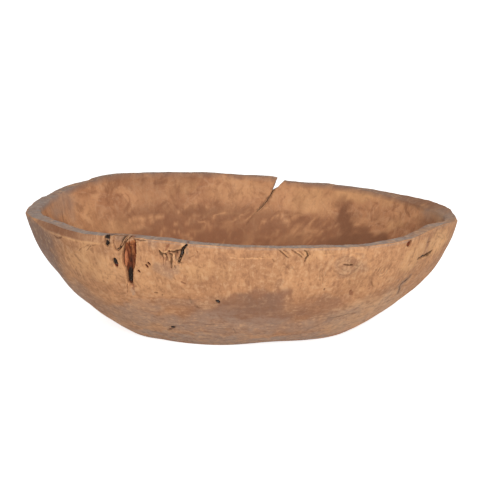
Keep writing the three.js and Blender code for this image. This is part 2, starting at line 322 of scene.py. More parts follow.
def inner_wall(bearing, share):
    """Down the inside: share 0 is the rim, 1 the middle of the floor."""
    rim = inner_lip(bearing)
    middle = np.array([FOOT_SHIFT, -FOOT_FORWARD, FLOOR_THICKNESS])
    belly = middle + (rim - middle) * BELLY_REACH
    belly[:, 2] = rim[:, 2] - (rim[:, 2] - FLOOR_THICKNESS) * BELLY_DOWN
    floor = middle + (rim - middle) * FLOOR_REACH
    floor[:, 2] = FLOOR_THICKNESS
    s = share[:, None]
    return rim * (1 - s) ** 3 + belly * 3 * s * (1 - s) ** 2 + floor * 3 * s**2 * (1 - s) + middle * s**3


def foot_face(bearing, share):
    middle = np.array([FOOT_SHIFT, -FOOT_FORWARD, 0])
    return middle + (outer_wall(bearing, np.ones_like(bearing)) - middle) * share[:, None]


def between(start, end, share):
    return start + (end - start) * share[:, None]


def worn_wall(bearing, share):
    """Up the outside: share 0 is the edge of the foot, 1 the edge under the bevels."""
    return outer_wall(bearing, 1 - share * (1 - bevel_share(bearing)))


def worn_bevel(bearing, share):
    return between(outer_wall(bearing, bevel_share(bearing)), rim_face(bearing, 0 * share), share)


def rounded_lip(bearing, share):
    return between(rim_face(bearing, 1 + 0 * share), inner_lip(bearing), share)


SKIN_STRETCHES = {
    "foot": foot_face,
    "wall": worn_wall,
    "bevel": worn_bevel,
    "rim": rim_face,
    "lip": rounded_lip,
    "inside": inner_wall,
}
SKIN_TOP = sum(SKIN_ROWS.values())


def stretches(row):
    """Which rows lie on each stretch of the section, and each row's share of its stretch."""
    lengths = np.array(list(SKIN_ROWS.values()))
    ends = np.cumsum(lengths)
    number = np.searchsorted(ends, row, side="left")
    on = {name: number == i for i, name in enumerate(SKIN_ROWS)}
    return on, 1 - (ends[number] - row) / lengths[number]


def skin_point(bearing, row):
    on, share = stretches(row)
    points = np.zeros((len(row), 3))
    for name, stretch in SKIN_STRETCHES.items():
        here = on[name]
        if here.any():
            points[here] = stretch(bearing[here], share[here])
    return points


def column_bearing(column):
    """Columns are spaced evenly along the rim."""
    bearings = np.linspace(0, 360, 3601)
    steps = np.linalg.norm(np.diff(oval(bearings, RIM_LENGTH, RIM_WIDTH), axis=0), axis=1)
    travelled = np.concatenate([[0], np.cumsum(steps)])
    return np.interp(column / COLUMNS * travelled[-1], travelled, bearings)


# Places on the walls

def wall_points(places):
    """Points of the outer wall at pairs of a bearing and a depth below the rim's top."""
    bearing = np.array([place[0] for place in places], float)
    height = rim_top(bearing)[:, 2] - np.array([place[1] for place in places], float)
    high = np.zeros(len(places))
    low = np.ones(len(places))
    for _ in range(24):
        share = (high + low) / 2
        above = outer_wall(bearing, share)[:, 2] > height
        high = np.where(above, share, high)
        low = np.where(above, low, share)
    return outer_wall(bearing, high)


def inside_points(places):
    """Points of the inner wall at such pairs."""
    shares = np.linspace(0, 1, 400)
    found = []
    for bearing, below in places:
        height = rim_top(np.array([float(bearing)]))[0, 2] - below
        line = inner_wall(np.full(len(shares), float(bearing)), shares)
        found.append(line[np.argmin(np.abs(line[:, 2] - height))])
    return np.array(found)


class WallFrame:
    """A flat frame on the outer wall: x runs along the wall, y up it and z out of it."""

    def __init__(self, bearing, below):
        height = rim_top(np.array([float(bearing)]))[0, 2] - below
        shares = np.linspace(0, 1, 4001)
        heights = outer_wall(np.full(len(shares), float(bearing)), shares)[:, 2]
        share = shares[np.searchsorted(-heights, -height)]
        turn = 2
        rise = 0.02
        bearings = np.array([bearing, bearing + turn, bearing - turn, bearing, bearing], float)
        around = np.array([share, share, share, share - rise, share + rise])
        self.origin, right, left, high, low = outer_wall(bearings, around)
        along = (right - left) / np.linalg.norm(right - left)
        out = np.cross(along, high - low)
        out /= np.linalg.norm(out)
        self.axes = np.stack([along, np.cross(out, along), out])

    def local(self, points):
        return (points - self.origin) @ self.axes.T

    def world(self, flat):
        return self.origin + flat @ self.axes[:2]


def turned(points, turn):
    c = np.cos(np.radians(turn))
    s = np.sin(np.radians(turn))
    return points @ np.array([[c, s], [-s, c]])


def smooth_path(points, steps=6, closed=False):
    """A smooth curve through given points."""
    knots = np.array(points, float)
    if closed:
        knots = np.concatenate([knots[-1:], knots, knots[:2]])
    else:
        knots = np.concatenate([[2 * knots[0] - knots[1]], knots, [2 * knots[-1] - knots[-2]]])
    a, b, c, d = (knots[i : len(knots) - 3 + i, None] for i in range(4))
    t = (np.arange(steps) / steps)[None, :, None]
    curve = b + (c - a) * t / 2 + (a - 2.5 * b + 2 * c - d / 2) * t**2 + (1.5 * (b - c) + (d - a) / 2) * t**3
    curve = curve.reshape(-1, knots.shape[1])
    return curve if closed else np.concatenate([curve, knots[-2:-1]])


def path_distance(points, path):
    """How far each point lies from a path, and its share of the way along it."""
    nearest = np.full(len(points), np.inf)
    share = np.zeros(len(points))
    for i in range(len(path) - 1):
        step = path[i + 1] - path[i]
        t = np.clip((points - path[i]) @ step / max(step @ step, 1e-12), 0, 1)
        away = np.linalg.norm(points - path[i] - t[:, None] * step, axis=1)
        closer = away < nearest
        nearest = np.where(closer, away, nearest)
        share = np.where(closer, (i + t) / (len(path) - 1), share)
    return nearest, share


def outline_distance(points, outline):
    """Distance to a closed outline in the plane, negative inside it."""
    ring = np.concatenate([outline, outline[:1]])
    away, _ = path_distance(points, ring)
    x, y = points.T
    inside = np.zeros(len(points), bool)
    for (x0, y0), (x1, y1) in zip(ring[:-1], ring[1:]):
        crosses = (y0 > y) != (y1 > y)
        rise = y1 - y0 if y1 != y0 else 1
        inside ^= crosses & (x < x0 + (y - y0) * (x1 - x0) / rise)
    return np.where(inside, -away, away)


def egg_outline(length, width, taper=0.0, turn=0.0, right=0.0, up=0.0, corners=32):
    """The long way runs up the wall, and a positive taper widens the upper half."""
    around = np.linspace(0, 2 * np.pi, corners, endpoint=False)
    across = -width / 2 * np.sin(around) * (1 + taper * np.cos(around))
    return turned(np.stack([right + across, up + length / 2 * np.cos(around)], axis=1), turn)


def seam_left(share):
    """How much of its width a seam keeps along its length: it has crumbled in places."""
    return 0.56 + 0.36 * cloud(in_plane(share * 13, 0 * share), 1, 201)


def seam_outline(path, width):
    """A ribbon along a smooth path, thin at its two ends."""
    line = smooth_path(path)
    step = np.gradient(line, axis=0)
    side = np.stack([-step[:, 1], step[:, 0]], axis=1) / np.linalg.norm(step, axis=1)[:, None]
    share = np.linspace(0, 1, len(line))
    half = width / 2 * (0.25 + 0.75 * np.sin(np.pi * share)) * seam_left(share)
    return np.concatenate([line - side * half[:, None], (line + side * half[:, None])[::-1]])


def mark(width, depth, *path, **tints):
    """A line on a wall: one with a negative depth stands out."""
    return {"width": width, "depth": depth, "path": path, "tints": tints}


# Pockets of the wall: the bark round the knot, edges and paths in the frames of their pockets, how far one
# lies along the wall from its solid, and each pocket's bearing, depth below the rim and outline
KNOT_BARK = 1.4
KNOT_SEAT = SEAT_GAP + KNOT_BARK
POCKET_EDGE = [
    (5.8, 23.6), (2, 21.8), (-1.7, 16.6), (-4.7, 7), (-6.4, -2.7), (-5.3, -7.9), (-5.2, -15.4), (-6.2, -22.5),
    (-4.6, -25), (-1.9, -22.7), (0.6, -11.8), (4.9, -1.9), (7.8, 8.9), (9.1, 18.3), (8.2, 22.6),
]
INSERT_LEAN = -11
SLIP_OUTLINE = egg_outline(18.5, 2.8, 0, INSERT_LEAN, -3.7, 2)
CORE_OUTLINE = egg_outline(23, 3.8, -0.4, INSERT_LEAN, 0.4, -12.5)
HOOK_PATH = [(4, 6.6), (2.4, 5.4), (1.1, 2.4), (0, -1.6), (-1.4, -6.5), (-3.5, -10), (-5.3, -12.3)]
HOOK_LEFT_PATH = [(4.5, 7.6), (3, 6), (0.7, 2.6), (0.2, -1.3), (-1.3, -5.2), (-2.4, -8.4), (-3.4, -11.2)]
RIGHT_SEAM_PATH = [(-12, 0), (-5.8, -0.4), (1.5, 0), (12.5, 0.8)]
POCKET_DRIFT = {"long_pocket": -1.2}
POCKETS = {
    "rim_knot": (238.6, 4.2, egg_outline(26 + 2 * KNOT_SEAT, 10.6 + 2 * KNOT_SEAT, 0.45, -17, 0.2, 4.5)),
    "long_pocket": (241.1, 24.1, smooth_path(POCKET_EDGE, 4, closed=True)),
    "rim_bark_wedge": (235, 3.8, egg_outline(12.8, 4.4, up=0.6)),
    "oval_bark_plug": (236.5, 25.7, egg_outline(9, 4, 0.1, -2)),
    "pin_knot_low": (242.9, 33.1, egg_outline(2.4, 2.2)),
    "pin_knot_mid": (245.6, 27.1, egg_outline(3.6, 1.8, 0, 30)),
    "pin_knot_high": (246.3, 24.4, egg_outline(3, 1.8, 0, 40)),
    "right_pin_knot": (316.3, 4.8, egg_outline(6, 5.4, 0.4, 15)),
    "low_pitch_plug": (245.8, 95, egg_outline(3, 4)),
    "middle_pitch_plug": (263.7, 56.3, egg_outline(4.2, 2.6, 0, 35)),
    "burr_bark_seam": (255.6, 9, seam_outline(HOOK_LEFT_PATH, 1.8)),
    "right_bark_seam": (328.5, 26.8, seam_outline(RIGHT_SEAM_PATH, 2.4)),
}

# The broken edge, the middle and the reach of the torn patch under the front rim, and the streak at the right
TORN_LEDGE = [
    (250, 9.3), (250.6, 11.9), (251.3, 11.9), (252.2, 9.3), (253.1, 9.6), (253.8, 9.9), (254.3, 8),
    (255.5, 6.7),
]
TORN_MIDDLE = (252.6, 8.5)
TORN_REACH = 26
RIGHT_STREAK = [(325.9, 44.5), (325.9, 47.9), (323.8, 50.6), (323.3, 53.5), (326.2, 64.4)]

# Cracks, fibres and dark lines of the outer wall: width, depth, the places along the line, and its tints
CRACKS = {
    "knot arc": mark(1.1, 0.4, (236.7, 11.2), (237.6, 12.2), (238.7, 11), bark=0.75),
    "tail of the pocket": mark(0.9, 0.6, (238.5, 42), (237.4, 50.5), (235.8, 60.5), bark=0.65, rust=0.4),
    "red tail of the pocket": mark(6, 0.4, (240, 45.5), (239.2, 52), rust=0.6),
    "grey tail of the pocket": mark(6, 0.2, (239.2, 51), (238.4, 58), ash=0.6),
    "arc to the pins": mark(0.7, 0.2, (241.9, 31.3), (242.9, 29.8), (244.6, 26.2), bark=0.4),
    "orange edge of the pocket": mark(2.6, 0.3, (239.6, 30), (238.6, 38), (238.2, 46), rust=0.4),
    "red foot of the pocket": mark(3.6, 0.5, (238.6, 48.6), (239.6, 48), rust=0.7),
    "rim dab left": mark(3.6, 0.5, (242.6, 1.2), (243.1, 2.2), (243.7, 2.6), bark=0.9),
    "rim dab red": mark(2, 0.3, (244.2, 1.8), (244.9, 2), rust=0.8, bark=0.4),
    "rim dab right": mark(3, 0.4, (245.1, 2.4), (245.8, 1.8), (246.5, 1.6), bark=0.9),
    "rim dab low": mark(1.9, 0.3, (243.3, 3.9), (244.2, 4.3), bark=0.7),
    "foot of the wedge": mark(3.4, 0.6, (235.4, 5.4), (235.9, 7.4), bark=1),
    # Painted shadow in the gap under the torn lip
    "gap under the lip": mark(4.2, 1.6, (252.3, 9.4), (253.3, 10), (254.4, 10.4), bark=1),
    "bar to the hook": mark(3, 0.8, (254.1, 8.4), (255, 7.8), (255.8, 7.2), bark=1),
    # Painted shadow in the gaps among the torn fibres
    "gap at the left": mark(2.8, 1.2, (249.9, 9.8), (250, 13.4), (250.5, 17.4), bark=1),
    "small gap": mark(3.2, 1, (250.9, 12.2), (251.2, 14), bark=1),
    "gap in the middle": mark(3.2, 1, (252.5, 12.4), (253, 13.6), bark=1),
    "long fibre": mark(2.2, 1, (252.6, 13.6), (252.5, 19.9), (252.3, 26.6), bark=0.9),
    "red fibre": mark(1.5, 0.8, (251.2, 14.1), (251.2, 20), rust=0.8, bark=0.3),
    "left fibre": mark(1.2, 0.6, (250.4, 15.7), (250.3, 24), bark=0.6),
    "right fibre": mark(1.9, 0.7, (253.8, 12.4), (253.9, 18.4), bark=0.8),
    "middle fibre": mark(1.6, 0.6, (251.5, 14), (251.5, 20), bark=0.7),
    # Painted highlight along the torn lip
    "painted highlight on the lip": mark(
        2.4, -0.7, (249.8, 8.8), (250.7, 10.9), (251.6, 10.5), (252.4, 8.4), (253.3, 8.6), (254, 8.7),
        pale=1.7),
    "pale strand a": mark(1.9, -0.6, (253.3, 12), (253.3, 19.8), pale=1.6),
    "pale strand b": mark(1.8, -0.5, (251.9, 12.6), (251.9, 19.2), pale=1.6),
    "pale strand c": mark(1.2, -0.4, (250.6, 13), (250.9, 18), pale=1.2),
    "pale over the hook": mark(1.5, -0.4, (255.2, 4.6), (256, 2.6), (256.9, 1.6), pale=1.4),
    "rust over the ledge": mark(2.8, 0.2, (252.8, 2.4), (252.1, 5), (251.5, 9), rust=0.55),
    "strand of the hook": mark(1.2, 0.8, (257.1, 1.4), (256.4, 3), (255.5, 5.8), bark=0.8),
    "foot of the hook": mark(2, 0.6, (254.4, 20), (255.3, 19.8), bark=0.85),
    "grey by the hook": mark(5, 0.2, (256.7, 4), (256.9, 10), ash=0.5, bark=0.4),
    "tail of the hook": mark(0.9, 0.3, (255.1, 18.6), (255, 27.6), bark=0.45),
    "under the hook": mark(1.8, 0.5, (253.3, 23.3), (253.4, 26.5), bark=0.7),
    "arc right of the hook": mark(1.1, 0.4, (259.2, 3.8), (259.5, 8.2), rust=0.6, bark=0.4),
    "arc beside it": mark(0.9, 0.3, (258.4, 2.8), (259, 9.8), bark=0.4),
    "arc below it": mark(1.1, 0.3, (257.3, 13.9), (258.9, 10.4), bark=0.45),
    "red streak": mark(1.9, 0.4, (254.2, 38.7), (254.8, 40), (255.4, 41.1), rust=0.9, bark=0.4),
    "left crackle": mark(1.3, 0.6, (227, 17.9), (229.1, 11.7), (231.4, 9.6), bark=0.75),
    "left crackle fork": mark(1, 0.5, (223.8, 18.6), (225.4, 15.2), (228.7, 10.5), bark=0.55),
    "left dabs": mark(2, 0.4, (214, 10.6), (216, 11.5), (218.4, 8.3), rust=0.4, bark=0.5),
    "line left of the pocket": mark(1.2, 0.2, (231.5, 38.3), (234.3, 38.1), (236.9, 40.3), bark=0.3),
    "check a": mark(2, 1, (278.6, 2), (280, 6), (281.2, 9.5), bark=0.75),
    "check b": mark(1.6, 0.7, (279.9, 2), (280.9, 5), (281.8, 8.3), bark=0.6),
    "check c": mark(2, 1, (281.8, 2), (283.4, 6), (284.6, 9), bark=0.75),
    "check d": mark(1.5, 0.6, (283.2, 2), (284.2, 4.8), (285, 7), bark=0.5),
    "pale by check a": mark(1.4, -0.3, (279.3, 2), (280.6, 6), (281.8, 9.8), pale=0.9),
    "pale by check b": mark(1.3, -0.3, (280.7, 2), (281.7, 5), (282.6, 8.6), pale=0.7),
    "pale by check c": mark(1.4, -0.3, (282.5, 2), (284, 6), (285, 9.4), pale=0.9),
    "S check": mark(2.1, 1, (285, 2.4), (286, 6.6), (285.7, 9.5), (285.4, 13), bark=1),
    "side of the S check": mark(1.1, 0.5, (285.9, 2.8), (286.6, 6.8), bark=0.55),
    "pale by the S check": mark(1.4, -0.3, (286.8, 3), (287.2, 7.5), (286.6, 12), pale=0.7),
    "short check": mark(1.3, 0.6, (277.3, 10.8), (277.9, 13.8), bark=0.7),
    "line under the rim": mark(1.1, 0.3, (274.4, 5.6), (276, 5.3), (277.4, 5.3), bark=0.5),
    "pale line under the rim": mark(1.2, 0, (274.6, 8.1), (277.4, 8.1), pale=0.8),
    "scratch": mark(1.5, 0.5, (267.2, 10.9), (272, 10.6), (277.3, 9.9), pale=1),
    "crossing line a": mark(1.3, 0.3, (280.3, 15), (282, 21.7), bark=0.35),
    "crossing line b": mark(1.3, 0.3, (281.8, 15.6), (283.5, 23.1), bark=0.35),
    "crossing line c": mark(1.2, 0.3, (280.1, 18.6), (283.7, 21.1), bark=0.25),
    "upright line a": mark(1.3, 0.3, (289.9, 22.7), (290.6, 34.9), bark=0.5),
    "upright line b": mark(1.3, 0.3, (290.5, 21.8), (291.4, 35.9), bark=0.5),
    "upright line c": mark(1.2, 0.3, (291.3, 23.8), (292, 34), bark=0.4),
    "rim line a": mark(1.1, 0.4, (289.5, 1.8), (290.1, 6.1), bark=0.45),
    "rim line b": mark(1.1, 0.4, (291, 1.8), (291.7, 6.1), bark=0.4),
    "eye": mark(2.3, 1, (296.1, 17), (297.3, 18.5), (298.7, 18.4), bark=0.95, rust=0.2),
    "grey of the eye": mark(2.4, 0.3, (299.4, 18.7), (300.7, 20.1), bark=0.5),
    "ring under the eye": mark(
        1.7, 0.2, (294.2, 18.2), (296.2, 23.1), (298.3, 24.1), (300.3, 21.5), (300.9, 18.7), bark=0.35),
    "outer ring of the eye": mark(
        1.6, 0.2, (292.6, 18.9), (294.2, 24.8), (297, 28.9), (299.6, 28), (301.1, 25.5), bark=0.3),
    "ring over the eye": mark(1.5, 0.2, (294.3, 16.2), (295, 11.2), (296.5, 9.4), (298.7, 11.2), bark=0.25),
    "pale ring of the eye": mark(
        1.9, -0.1, (293.4, 19.5), (295.2, 24.4), (297.6, 26.6), (299.9, 25), pale=0.8),
    "pale line by the eye": mark(1.5, 0.1, (287.8, 6.1), (290.5, 6.5), (293.2, 7.3), pale=0.9),
    "right line": mark(1.5, 0.5, (306.3, 35.1), (308.1, 42.6), bark=0.75),
    "pale right line": mark(2.4, 0, (303.3, 13.2), (304.8, 24.8), (306.1, 33.5), pale=0.6),
    "right streak": mark(4.2, 0.4, *RIGHT_STREAK, bark=0.85),
    "grey by the right streak": mark(9, 0, *RIGHT_STREAK, ash=0.7, bark=0.2),
    "edge of the right seam": mark(
        3.6, 0.4, (324.8, 27.2), (326.2, 26.2), (329, 27.8), (331.9, 28.5), bark=1),
    "knob of the right seam": mark(4.4, 0.4, (331.4, 28), (333.3, 25), bark=1),
    "rim speck": mark(2.4, 0.3, (326.1, 11.7), (328.5, 12.4), bark=0.75),
    "right swirl": mark(2, 0.2, (328.4, 4.4), (334.2, 8.5), (339, 14.2), (339.5, 18.4), bark=0.3),
    "inner right swirl": mark(1.8, 0.2, (332.4, 10.3), (336.7, 14.6), (336.8, 17.6), bark=0.35),
    "low rising line": mark(3.2, 0.4, (298.6, 75), (302, 75.3), (305.1, 73.9), (309.6, 73.4), bark=0.5),
    "low line a": mark(2, 0.3, (258.8, 85.3), (261.9, 85.7), bark=0.45),
    "low line b": mark(2, 0.3, (262.1, 90.7), (265.6, 89.4), bark=0.45),
    "low line c": mark(1.6, 0.3, (237.4, 94.4), (247.1, 93.2), (250.8, 91.1), bark=0.35),
    "low line d": mark(2, 0.3, (280, 80.4), (282.8, 80.5), bark=0.5),
    "pit fork": mark(1.3, 0.5, (263.2, 54.6), (263.8, 56.3), (264.2, 58), bark=0.85),
    "low smear": mark(3.8, 0.3, (242.5, 99.9), (244.6, 97.1), (247, 93.6), bark=0.85),
    "pit left a": mark(2, 0.5, (246, 53.8), (247, 53.7), bark=0.8),
    "pit left b": mark(1.9, 0.5, (248, 55), (248, 56.5), bark=0.75),
    "dot": mark(2, 0.6, (292.2, 41), (292.4, 42.4), bark=0.85),
    "brown smear": mark(5.4, 0.3, (301.2, 45.5), (302, 49.5), rust=0.75, bark=0.3),
    "left smear a": mark(2, 0.2, (254, 45.6), (254.6, 48), bark=0.35),
    "left smear b": mark(3.4, 0.2, (255.5, 54.5), (256.2, 61.3), bark=0.4),
    "left smear c": mark(3, 0.2, (256.9, 63.5), (258, 65.5), bark=0.4),
    "pale smudge": mark(3, 0, (268.8, 74.4), (269, 84.2), pale=0.5),
    "low pale smudge": mark(3, 0, (269.4, 85.4), (269.8, 96.6), pale=0.6),
    "pit by the smudge": mark(2.8, 0.3, (267.9, 88.4), (268.7, 95.2), bark=0.35),
    "orange fleck": mark(3.6, 0, (241.1, 77.5), (241.6, 80.5), rust=0.25, pale=0.8),
    "orange dots": mark(2.6, 0, (251, 53.5), (252.4, 53.3), pale=0.8),
    "red dot": mark(1.8, 0.3, (228.7, 92.4), (228.9, 93), rust=0.8),
}

# Broad stains on the outer wall, with painted shade along the left edge and painted light on the right end
# and on the lowest edges: place, reach along and down the wall, how dark (below 0 pale), how ashen
STAINS = {
    "low front": ((273, 66), 50, 19, 0.75, 0),
    "low right": ((295.2, 61.6), 17, 13, 0.4, 0),
    "low left of the middle": ((261.8, 73), 13, 12, 0.45, 0),
    "low right streak": ((304, 74.5), 24, 6, 0.5, 0),
    "low belly": ((262, 86), 70, 13, 0.35, 0.7),
    "low belly right": ((299, 83), 46, 12, 0.3, 0.6),
    "low belly left": ((232, 84), 34, 15, 0.15, 0.65),
    "grey wisp": ((241.1, 71.4), 14, 9, 0.25, 0.4),
    "dark wisp": ((251, 63.5), 20, 6, 0.3, 0.2),
    # Painted shade along the left edge and under the left bevel
    "painted shade at the left edge": ((196, 33), 44, 36, 1.4, 0.15),
    "painted shade at the left edge under the bevel": ((206.5, 19), 26, 15, 0.6, 0.15),
    "left flank": ((190, 76), 45, 26, 0.4, 0.4),
    "left belly": ((213, 76), 30, 18, 0.3, 0.3),
    "torn patch": ((252.4, 13), 12, 9, 0.3, 0),
    "smudge under the tear": ((251.4, 30.4), 8, 8, 0.4, 0.2),
    "smudge by the rim": ((248, 8), 5, 6, 0.4, 0.2),
    "right shoulder": ((321, 55), 20, 14, 0.2, 0),
    "right patch": ((326.9, 11.4), 4, 3, 0.7, 0),
    "pale right front": ((285, 23), 40, 18, -0.15, 0),
    "pale by the hook": ((259, 27), 15, 9, -0.7, 0),
    "pale by the checks": ((287.5, 5), 16, 8, -0.8, 0),
    "shade of the eye": ((298.2, 20.5), 15, 9, 0.65, 0),
    "low right shade": ((298, 72), 18, 8, 0.75, 0),
    "pale left front": ((245.6, 40), 26, 16, -0.35, 0),
    "pale left": ((228, 30), 34, 18, -0.75, 0),
    # Painted light on the outer right end
    "painted light on the right end": ((336, 16), 18, 14, -1.2, 0),
    "pale right wall": ((321, 21), 16, 13, -0.9, 0),
    "pale right belly": ((312, 66), 26, 16, -0.85, 0.35),
    # Painted light from the floor's bounce on the lowest edges, with grey ash
    "painted bounce light on the foot's rim": ((268, 106), 120, 9, -0.5, 1),
    "painted bounce light right": ((318, 80), 56, 24, -1.5, 0.6),
    "painted bounce light left": ((226, 99), 44, 14, -0.7, 0.4),
    "smudge under the hook": ((254.5, 29), 4, 13, 0.35, 0.25),
    "pale front middle": ((265.4, 26.3), 9, 13, -0.5, 0),
    "pale left of the middle": ((258.7, 35.2), 8, 7, -0.5, 0),
    "shade over the heartwood": ((280.8, 36.7), 7, 6, 0.35, 0),
    "low right smudge": ((295.6, 70.8), 15, 6, 0.35, 0),
    "low middle smudge": ((279, 82.5), 34, 6, 0.35, 0),
    "low left smudge": ((259.6, 79.1), 16, 5, 0.3, 0),
    "pale low left": ((233.5, 86), 15, 10, -0.4, 0),
    "pale right shoulder": ((303, 37), 12, 7, -0.3, 0),
    "pale right flank": ((313.6, 63), 12, 7, -0.35, 0),
}

# Dark heartwood on the lower front: how soft its edge is, how dark and how ashen, and its outline
HEARTWOOD = {
    "middle": (3.4, 0.95, 0, [
        (264.6, 56.2), (266.6, 53.8), (267.6, 49.9), (269.7, 46.6), (271.6, 46.8), (273.3, 41.9),
        (275.4, 40.5), (277, 41.7), (278.2, 43.5), (280.1, 41.8), (282.5, 42.2), (283.2, 44.5), (282, 47.4),
        (281.7, 51), (282.1, 56.7), (282.9, 62.9), (285.4, 70.8), (283.7, 78.3), (279.7, 81.9),
        (273.8, 82.1), (268.7, 79.4), (264.4, 75.2), (261.7, 68.7), (262.5, 60.4)]),
    "right": (3.8, 0.6, 0, [
        (286.2, 63), (285.9, 57.9), (287.6, 56), (288.6, 53), (290.6, 49.4), (292.6, 45.8), (295.1, 49.4),
        (296.6, 54), (298.4, 52.2), (299.8, 49.6), (301.9, 52), (302.8, 56), (302.1, 60.7), (303.5, 64.3),
        (300.8, 66.6), (300.9, 72.1), (295.9, 72), (291.5, 73.9), (288.2, 69.9)]),
    "lens over the foot": (3.6, 0.55, 0, [
        (276.4, 90.4), (280.1, 85.4), (284.9, 84.7), (289.3, 85.6), (291.6, 89.1), (289.5, 93.2),
        (283.5, 94.3), (278.3, 94.6)]),
    "left smoke": (4, 0.6, 0, [
        (252.5, 62.8), (255.8, 57.8), (257.6, 62.4), (258.1, 69.8), (255.4, 77.1), (252.4, 75.1)]),
    "smoke under the pocket": (5, 0.3, 0.5, [
        (240.7, 63.8), (243.8, 65.1), (246.7, 68.8), (245.8, 75.1), (242, 75.9), (240.3, 70.4)]),
    "grey middle": (6, 0.3, 0.5, [
        (258.1, 69.8), (259.9, 67), (264.4, 64), (268.7, 66), (268.7, 78), (262, 80), (256.8, 77)]),
}

# Broad stains on the inner wall, in the same way, with painted shade low down above the front rim and painted
# light at the right end and the front right
INSIDE_STAINS = {
    "brown band at the back left": ((120, 5), 58, 10, 0.5, 0),
    "brown back left": ((117, 22), 32, 14, 0.35, 0),
    "dark spot far left": ((126.5, 37), 11, 9, 0.4, 0),
    "dark spot left": ((115.2, 37.6), 9, 10, 0.55, 0),
    "dark band left": ((105, 46), 15, 6, 0.5, 0),
    "small dark spot": ((99.2, 36.5), 4, 4, 0.5, 0),
    # Painted shade on the lower inside, seen just above the front rim
    "painted shade low middle": ((93.6, 60), 24, 13, 0.6, 0),
    "dark middle": ((84, 62), 56, 13, 0.55, 0),
    "dark patch": ((53.6, 30), 13, 15, 1.3, 0),
    "top of the dark patch": ((57, 17.5), 9, 9, 0.55, 0),
    "foot of the dark patch": ((50, 45), 12, 11, 1, 0),
    # Painted shade just above the front rim
    "painted shade low right": ((46.5, 57), 41, 9, 1.3, 0),
    "pale low right": ((70.5, 55), 13, 8, -0.5, 0),
    "painted shade right": ((37.5, 46), 30, 8, 1.3, 0),
    "shade right of the patch": ((48.5, 28), 12, 9, 0.7, 0),
    "dark spot in the middle": ((94, 36), 12, 7, 0.55, 0),
    "dark spot by the split": ((84.6, 42), 9, 7, 0.5, 0),
    "dark spot right": ((40.3, 25), 8, 7, 0.5, 0),
    "pale low left": ((137, 50), 24, 9, -0.6, 0),
    "pale spot back": ((107.7, 13), 10, 8, -0.6, 0),
    "pale spot back left": ((113, 19), 8, 8, -0.45, 0),
    "pale low back": ((86, 57), 16, 6, -0.2, 0),
    "pale over the patch": ((55, 9), 12, 6, -0.9, 0),
    "pale by the rim": ((65, 8), 9, 7, -0.9, 0),
    # Painted light on the front right of the inside, where the render falls into shade
    "painted light front right": ((31, 26), 13, 7, -0.6, 0),
    # Painted light on the inside of the right end
    "painted light on the right end": ((5, 6), 22, 10, -1.6, 0.5),
    "pale beside the patch": ((62, 16), 13, 16, -0.6, 0),
    "pale back right": ((70, 18), 20, 14, -0.75, 0),
    "pale top right": ((51, 6), 40, 9, -0.95, 0),
    "pale back": ((92, 16), 40, 12, -0.4, 0),
    "pale veins": ((99, 42), 12, 8, -0.25, 0),
    "pale left low": ((150, 33), 30, 14, -0.4, 0),
    "shade of the right end": ((15.4, 21), 22, 7, 0.6, 0),
    "ashen left": ((160, 12), 24, 13, -0.1, 0.5),
    "ashen right end": ((13, 5), 26, 10, -0.1, 0.55),
    "dark middle back": ((88, 40), 16, 9, 0.3, 0),
}

# Lines on the inner wall: painted shadow along the split and beyond it, a scratch at the left, and pale veins
INSIDE_CRACKS = {
    # Painted shadow along the split's broken face and beyond its end
    "painted shadow at the split": mark(2.6, 0.3, (79.3, 13), (81.7, 25.5), (84.4, 35.4), bark=0.75),
    "shade of the split": mark(8, 0.3, (80.3, 19), (83, 32), (86, 43.7), (88.7, 57), dark=0.7),
    "painted shade below the split": mark(2, 0.3, (84.2, 34.5), (86.3, 43.7), (88.2, 52), bark=0.3),
    "left scratch": mark(2.2, 0.3, (160, 14), (161, 20), (162.1, 26), bark=0.45),
    "vein left": mark(3.4, 0, (104, 49), (101.4, 43.3), (99, 40), pale=0.7),
    "vein middle": mark(3.4, 0, (97.3, 45), (94.5, 41.3), (90.4, 41.3), pale=0.6),
    "vein low": mark(3, 0, (98, 52), (95, 49), (92.6, 49.5), pale=0.5),
    "vein right": mark(4, 0, (75.2, 35.4), (70, 33), (66.7, 31.4), pale=0.5),
}


def drift_of(pocket):
    """How far along the wall a pocket and its pieces have drifted."""
    return np.array([POCKET_DRIFT.get(pocket, 0), 0])


def reach_of(outline):
    return np.linalg.norm(outline, axis=1).max()


def fine_lines():
    """Lines of the two walls that need small cells, with their reach and the steps to a cell."""
    lines = []
    for name, (bearing, below, outline) in POCKETS.items():
        wall = WallFrame(bearing, below)
        ring = np.concatenate([outline, outline[:1]]) + drift_of(name)
        lines.append((wall.world(ring), 2, FINE))
        lines.append((wall.world(ring * 0.6), 4, HALF_FINE))
    for crack in CRACKS.values():
        steps = FINE if crack["depth"] >= 1 else HALF_FINE
        lines.append((smooth_path(wall_points(crack["path"])), 1.5 + crack["width"] / 2, steps))
    for crack in INSIDE_CRACKS.values():
        lines.append((smooth_path(inside_points(crack["path"])), 1.5 + crack["width"] / 2, HALF_FINE))
    ledge = smooth_path(wall_points(TORN_LEDGE))
    lines.append((ledge, 3, FINE))
    lines.append((ledge - np.array([0, 0, 6]), 9, HALF_FINE))
    return lines


def cell_levels(centres, bearing, row):
    """Steps to each base cell: more on the upper front and the rim, and most round the pockets and cracks."""
    on, _ = stretches(row)
    below = rim_top(bearing)[:, 2] - centres[:, 2]
    upper_front = on["wall"] & (np.abs(away_from(bearing, FRONT)) < FRONT_REACH) & (below < FRONT_DEPTH)
    levels = np.where(upper_front | on["bevel"] | on["rim"], 2, 1)
    for line, reach, level in fine_lines():
        middle = line.mean(axis=0)
        span = np.linalg.norm(line - middle, axis=1).max() + reach
        near = np.flatnonzero(np.linalg.norm(centres - middle, axis=1) < span)
        near = near[path_distance(centres[near], line)[0] < reach]
        levels[near] = np.maximum(levels[near], level)
    return levels


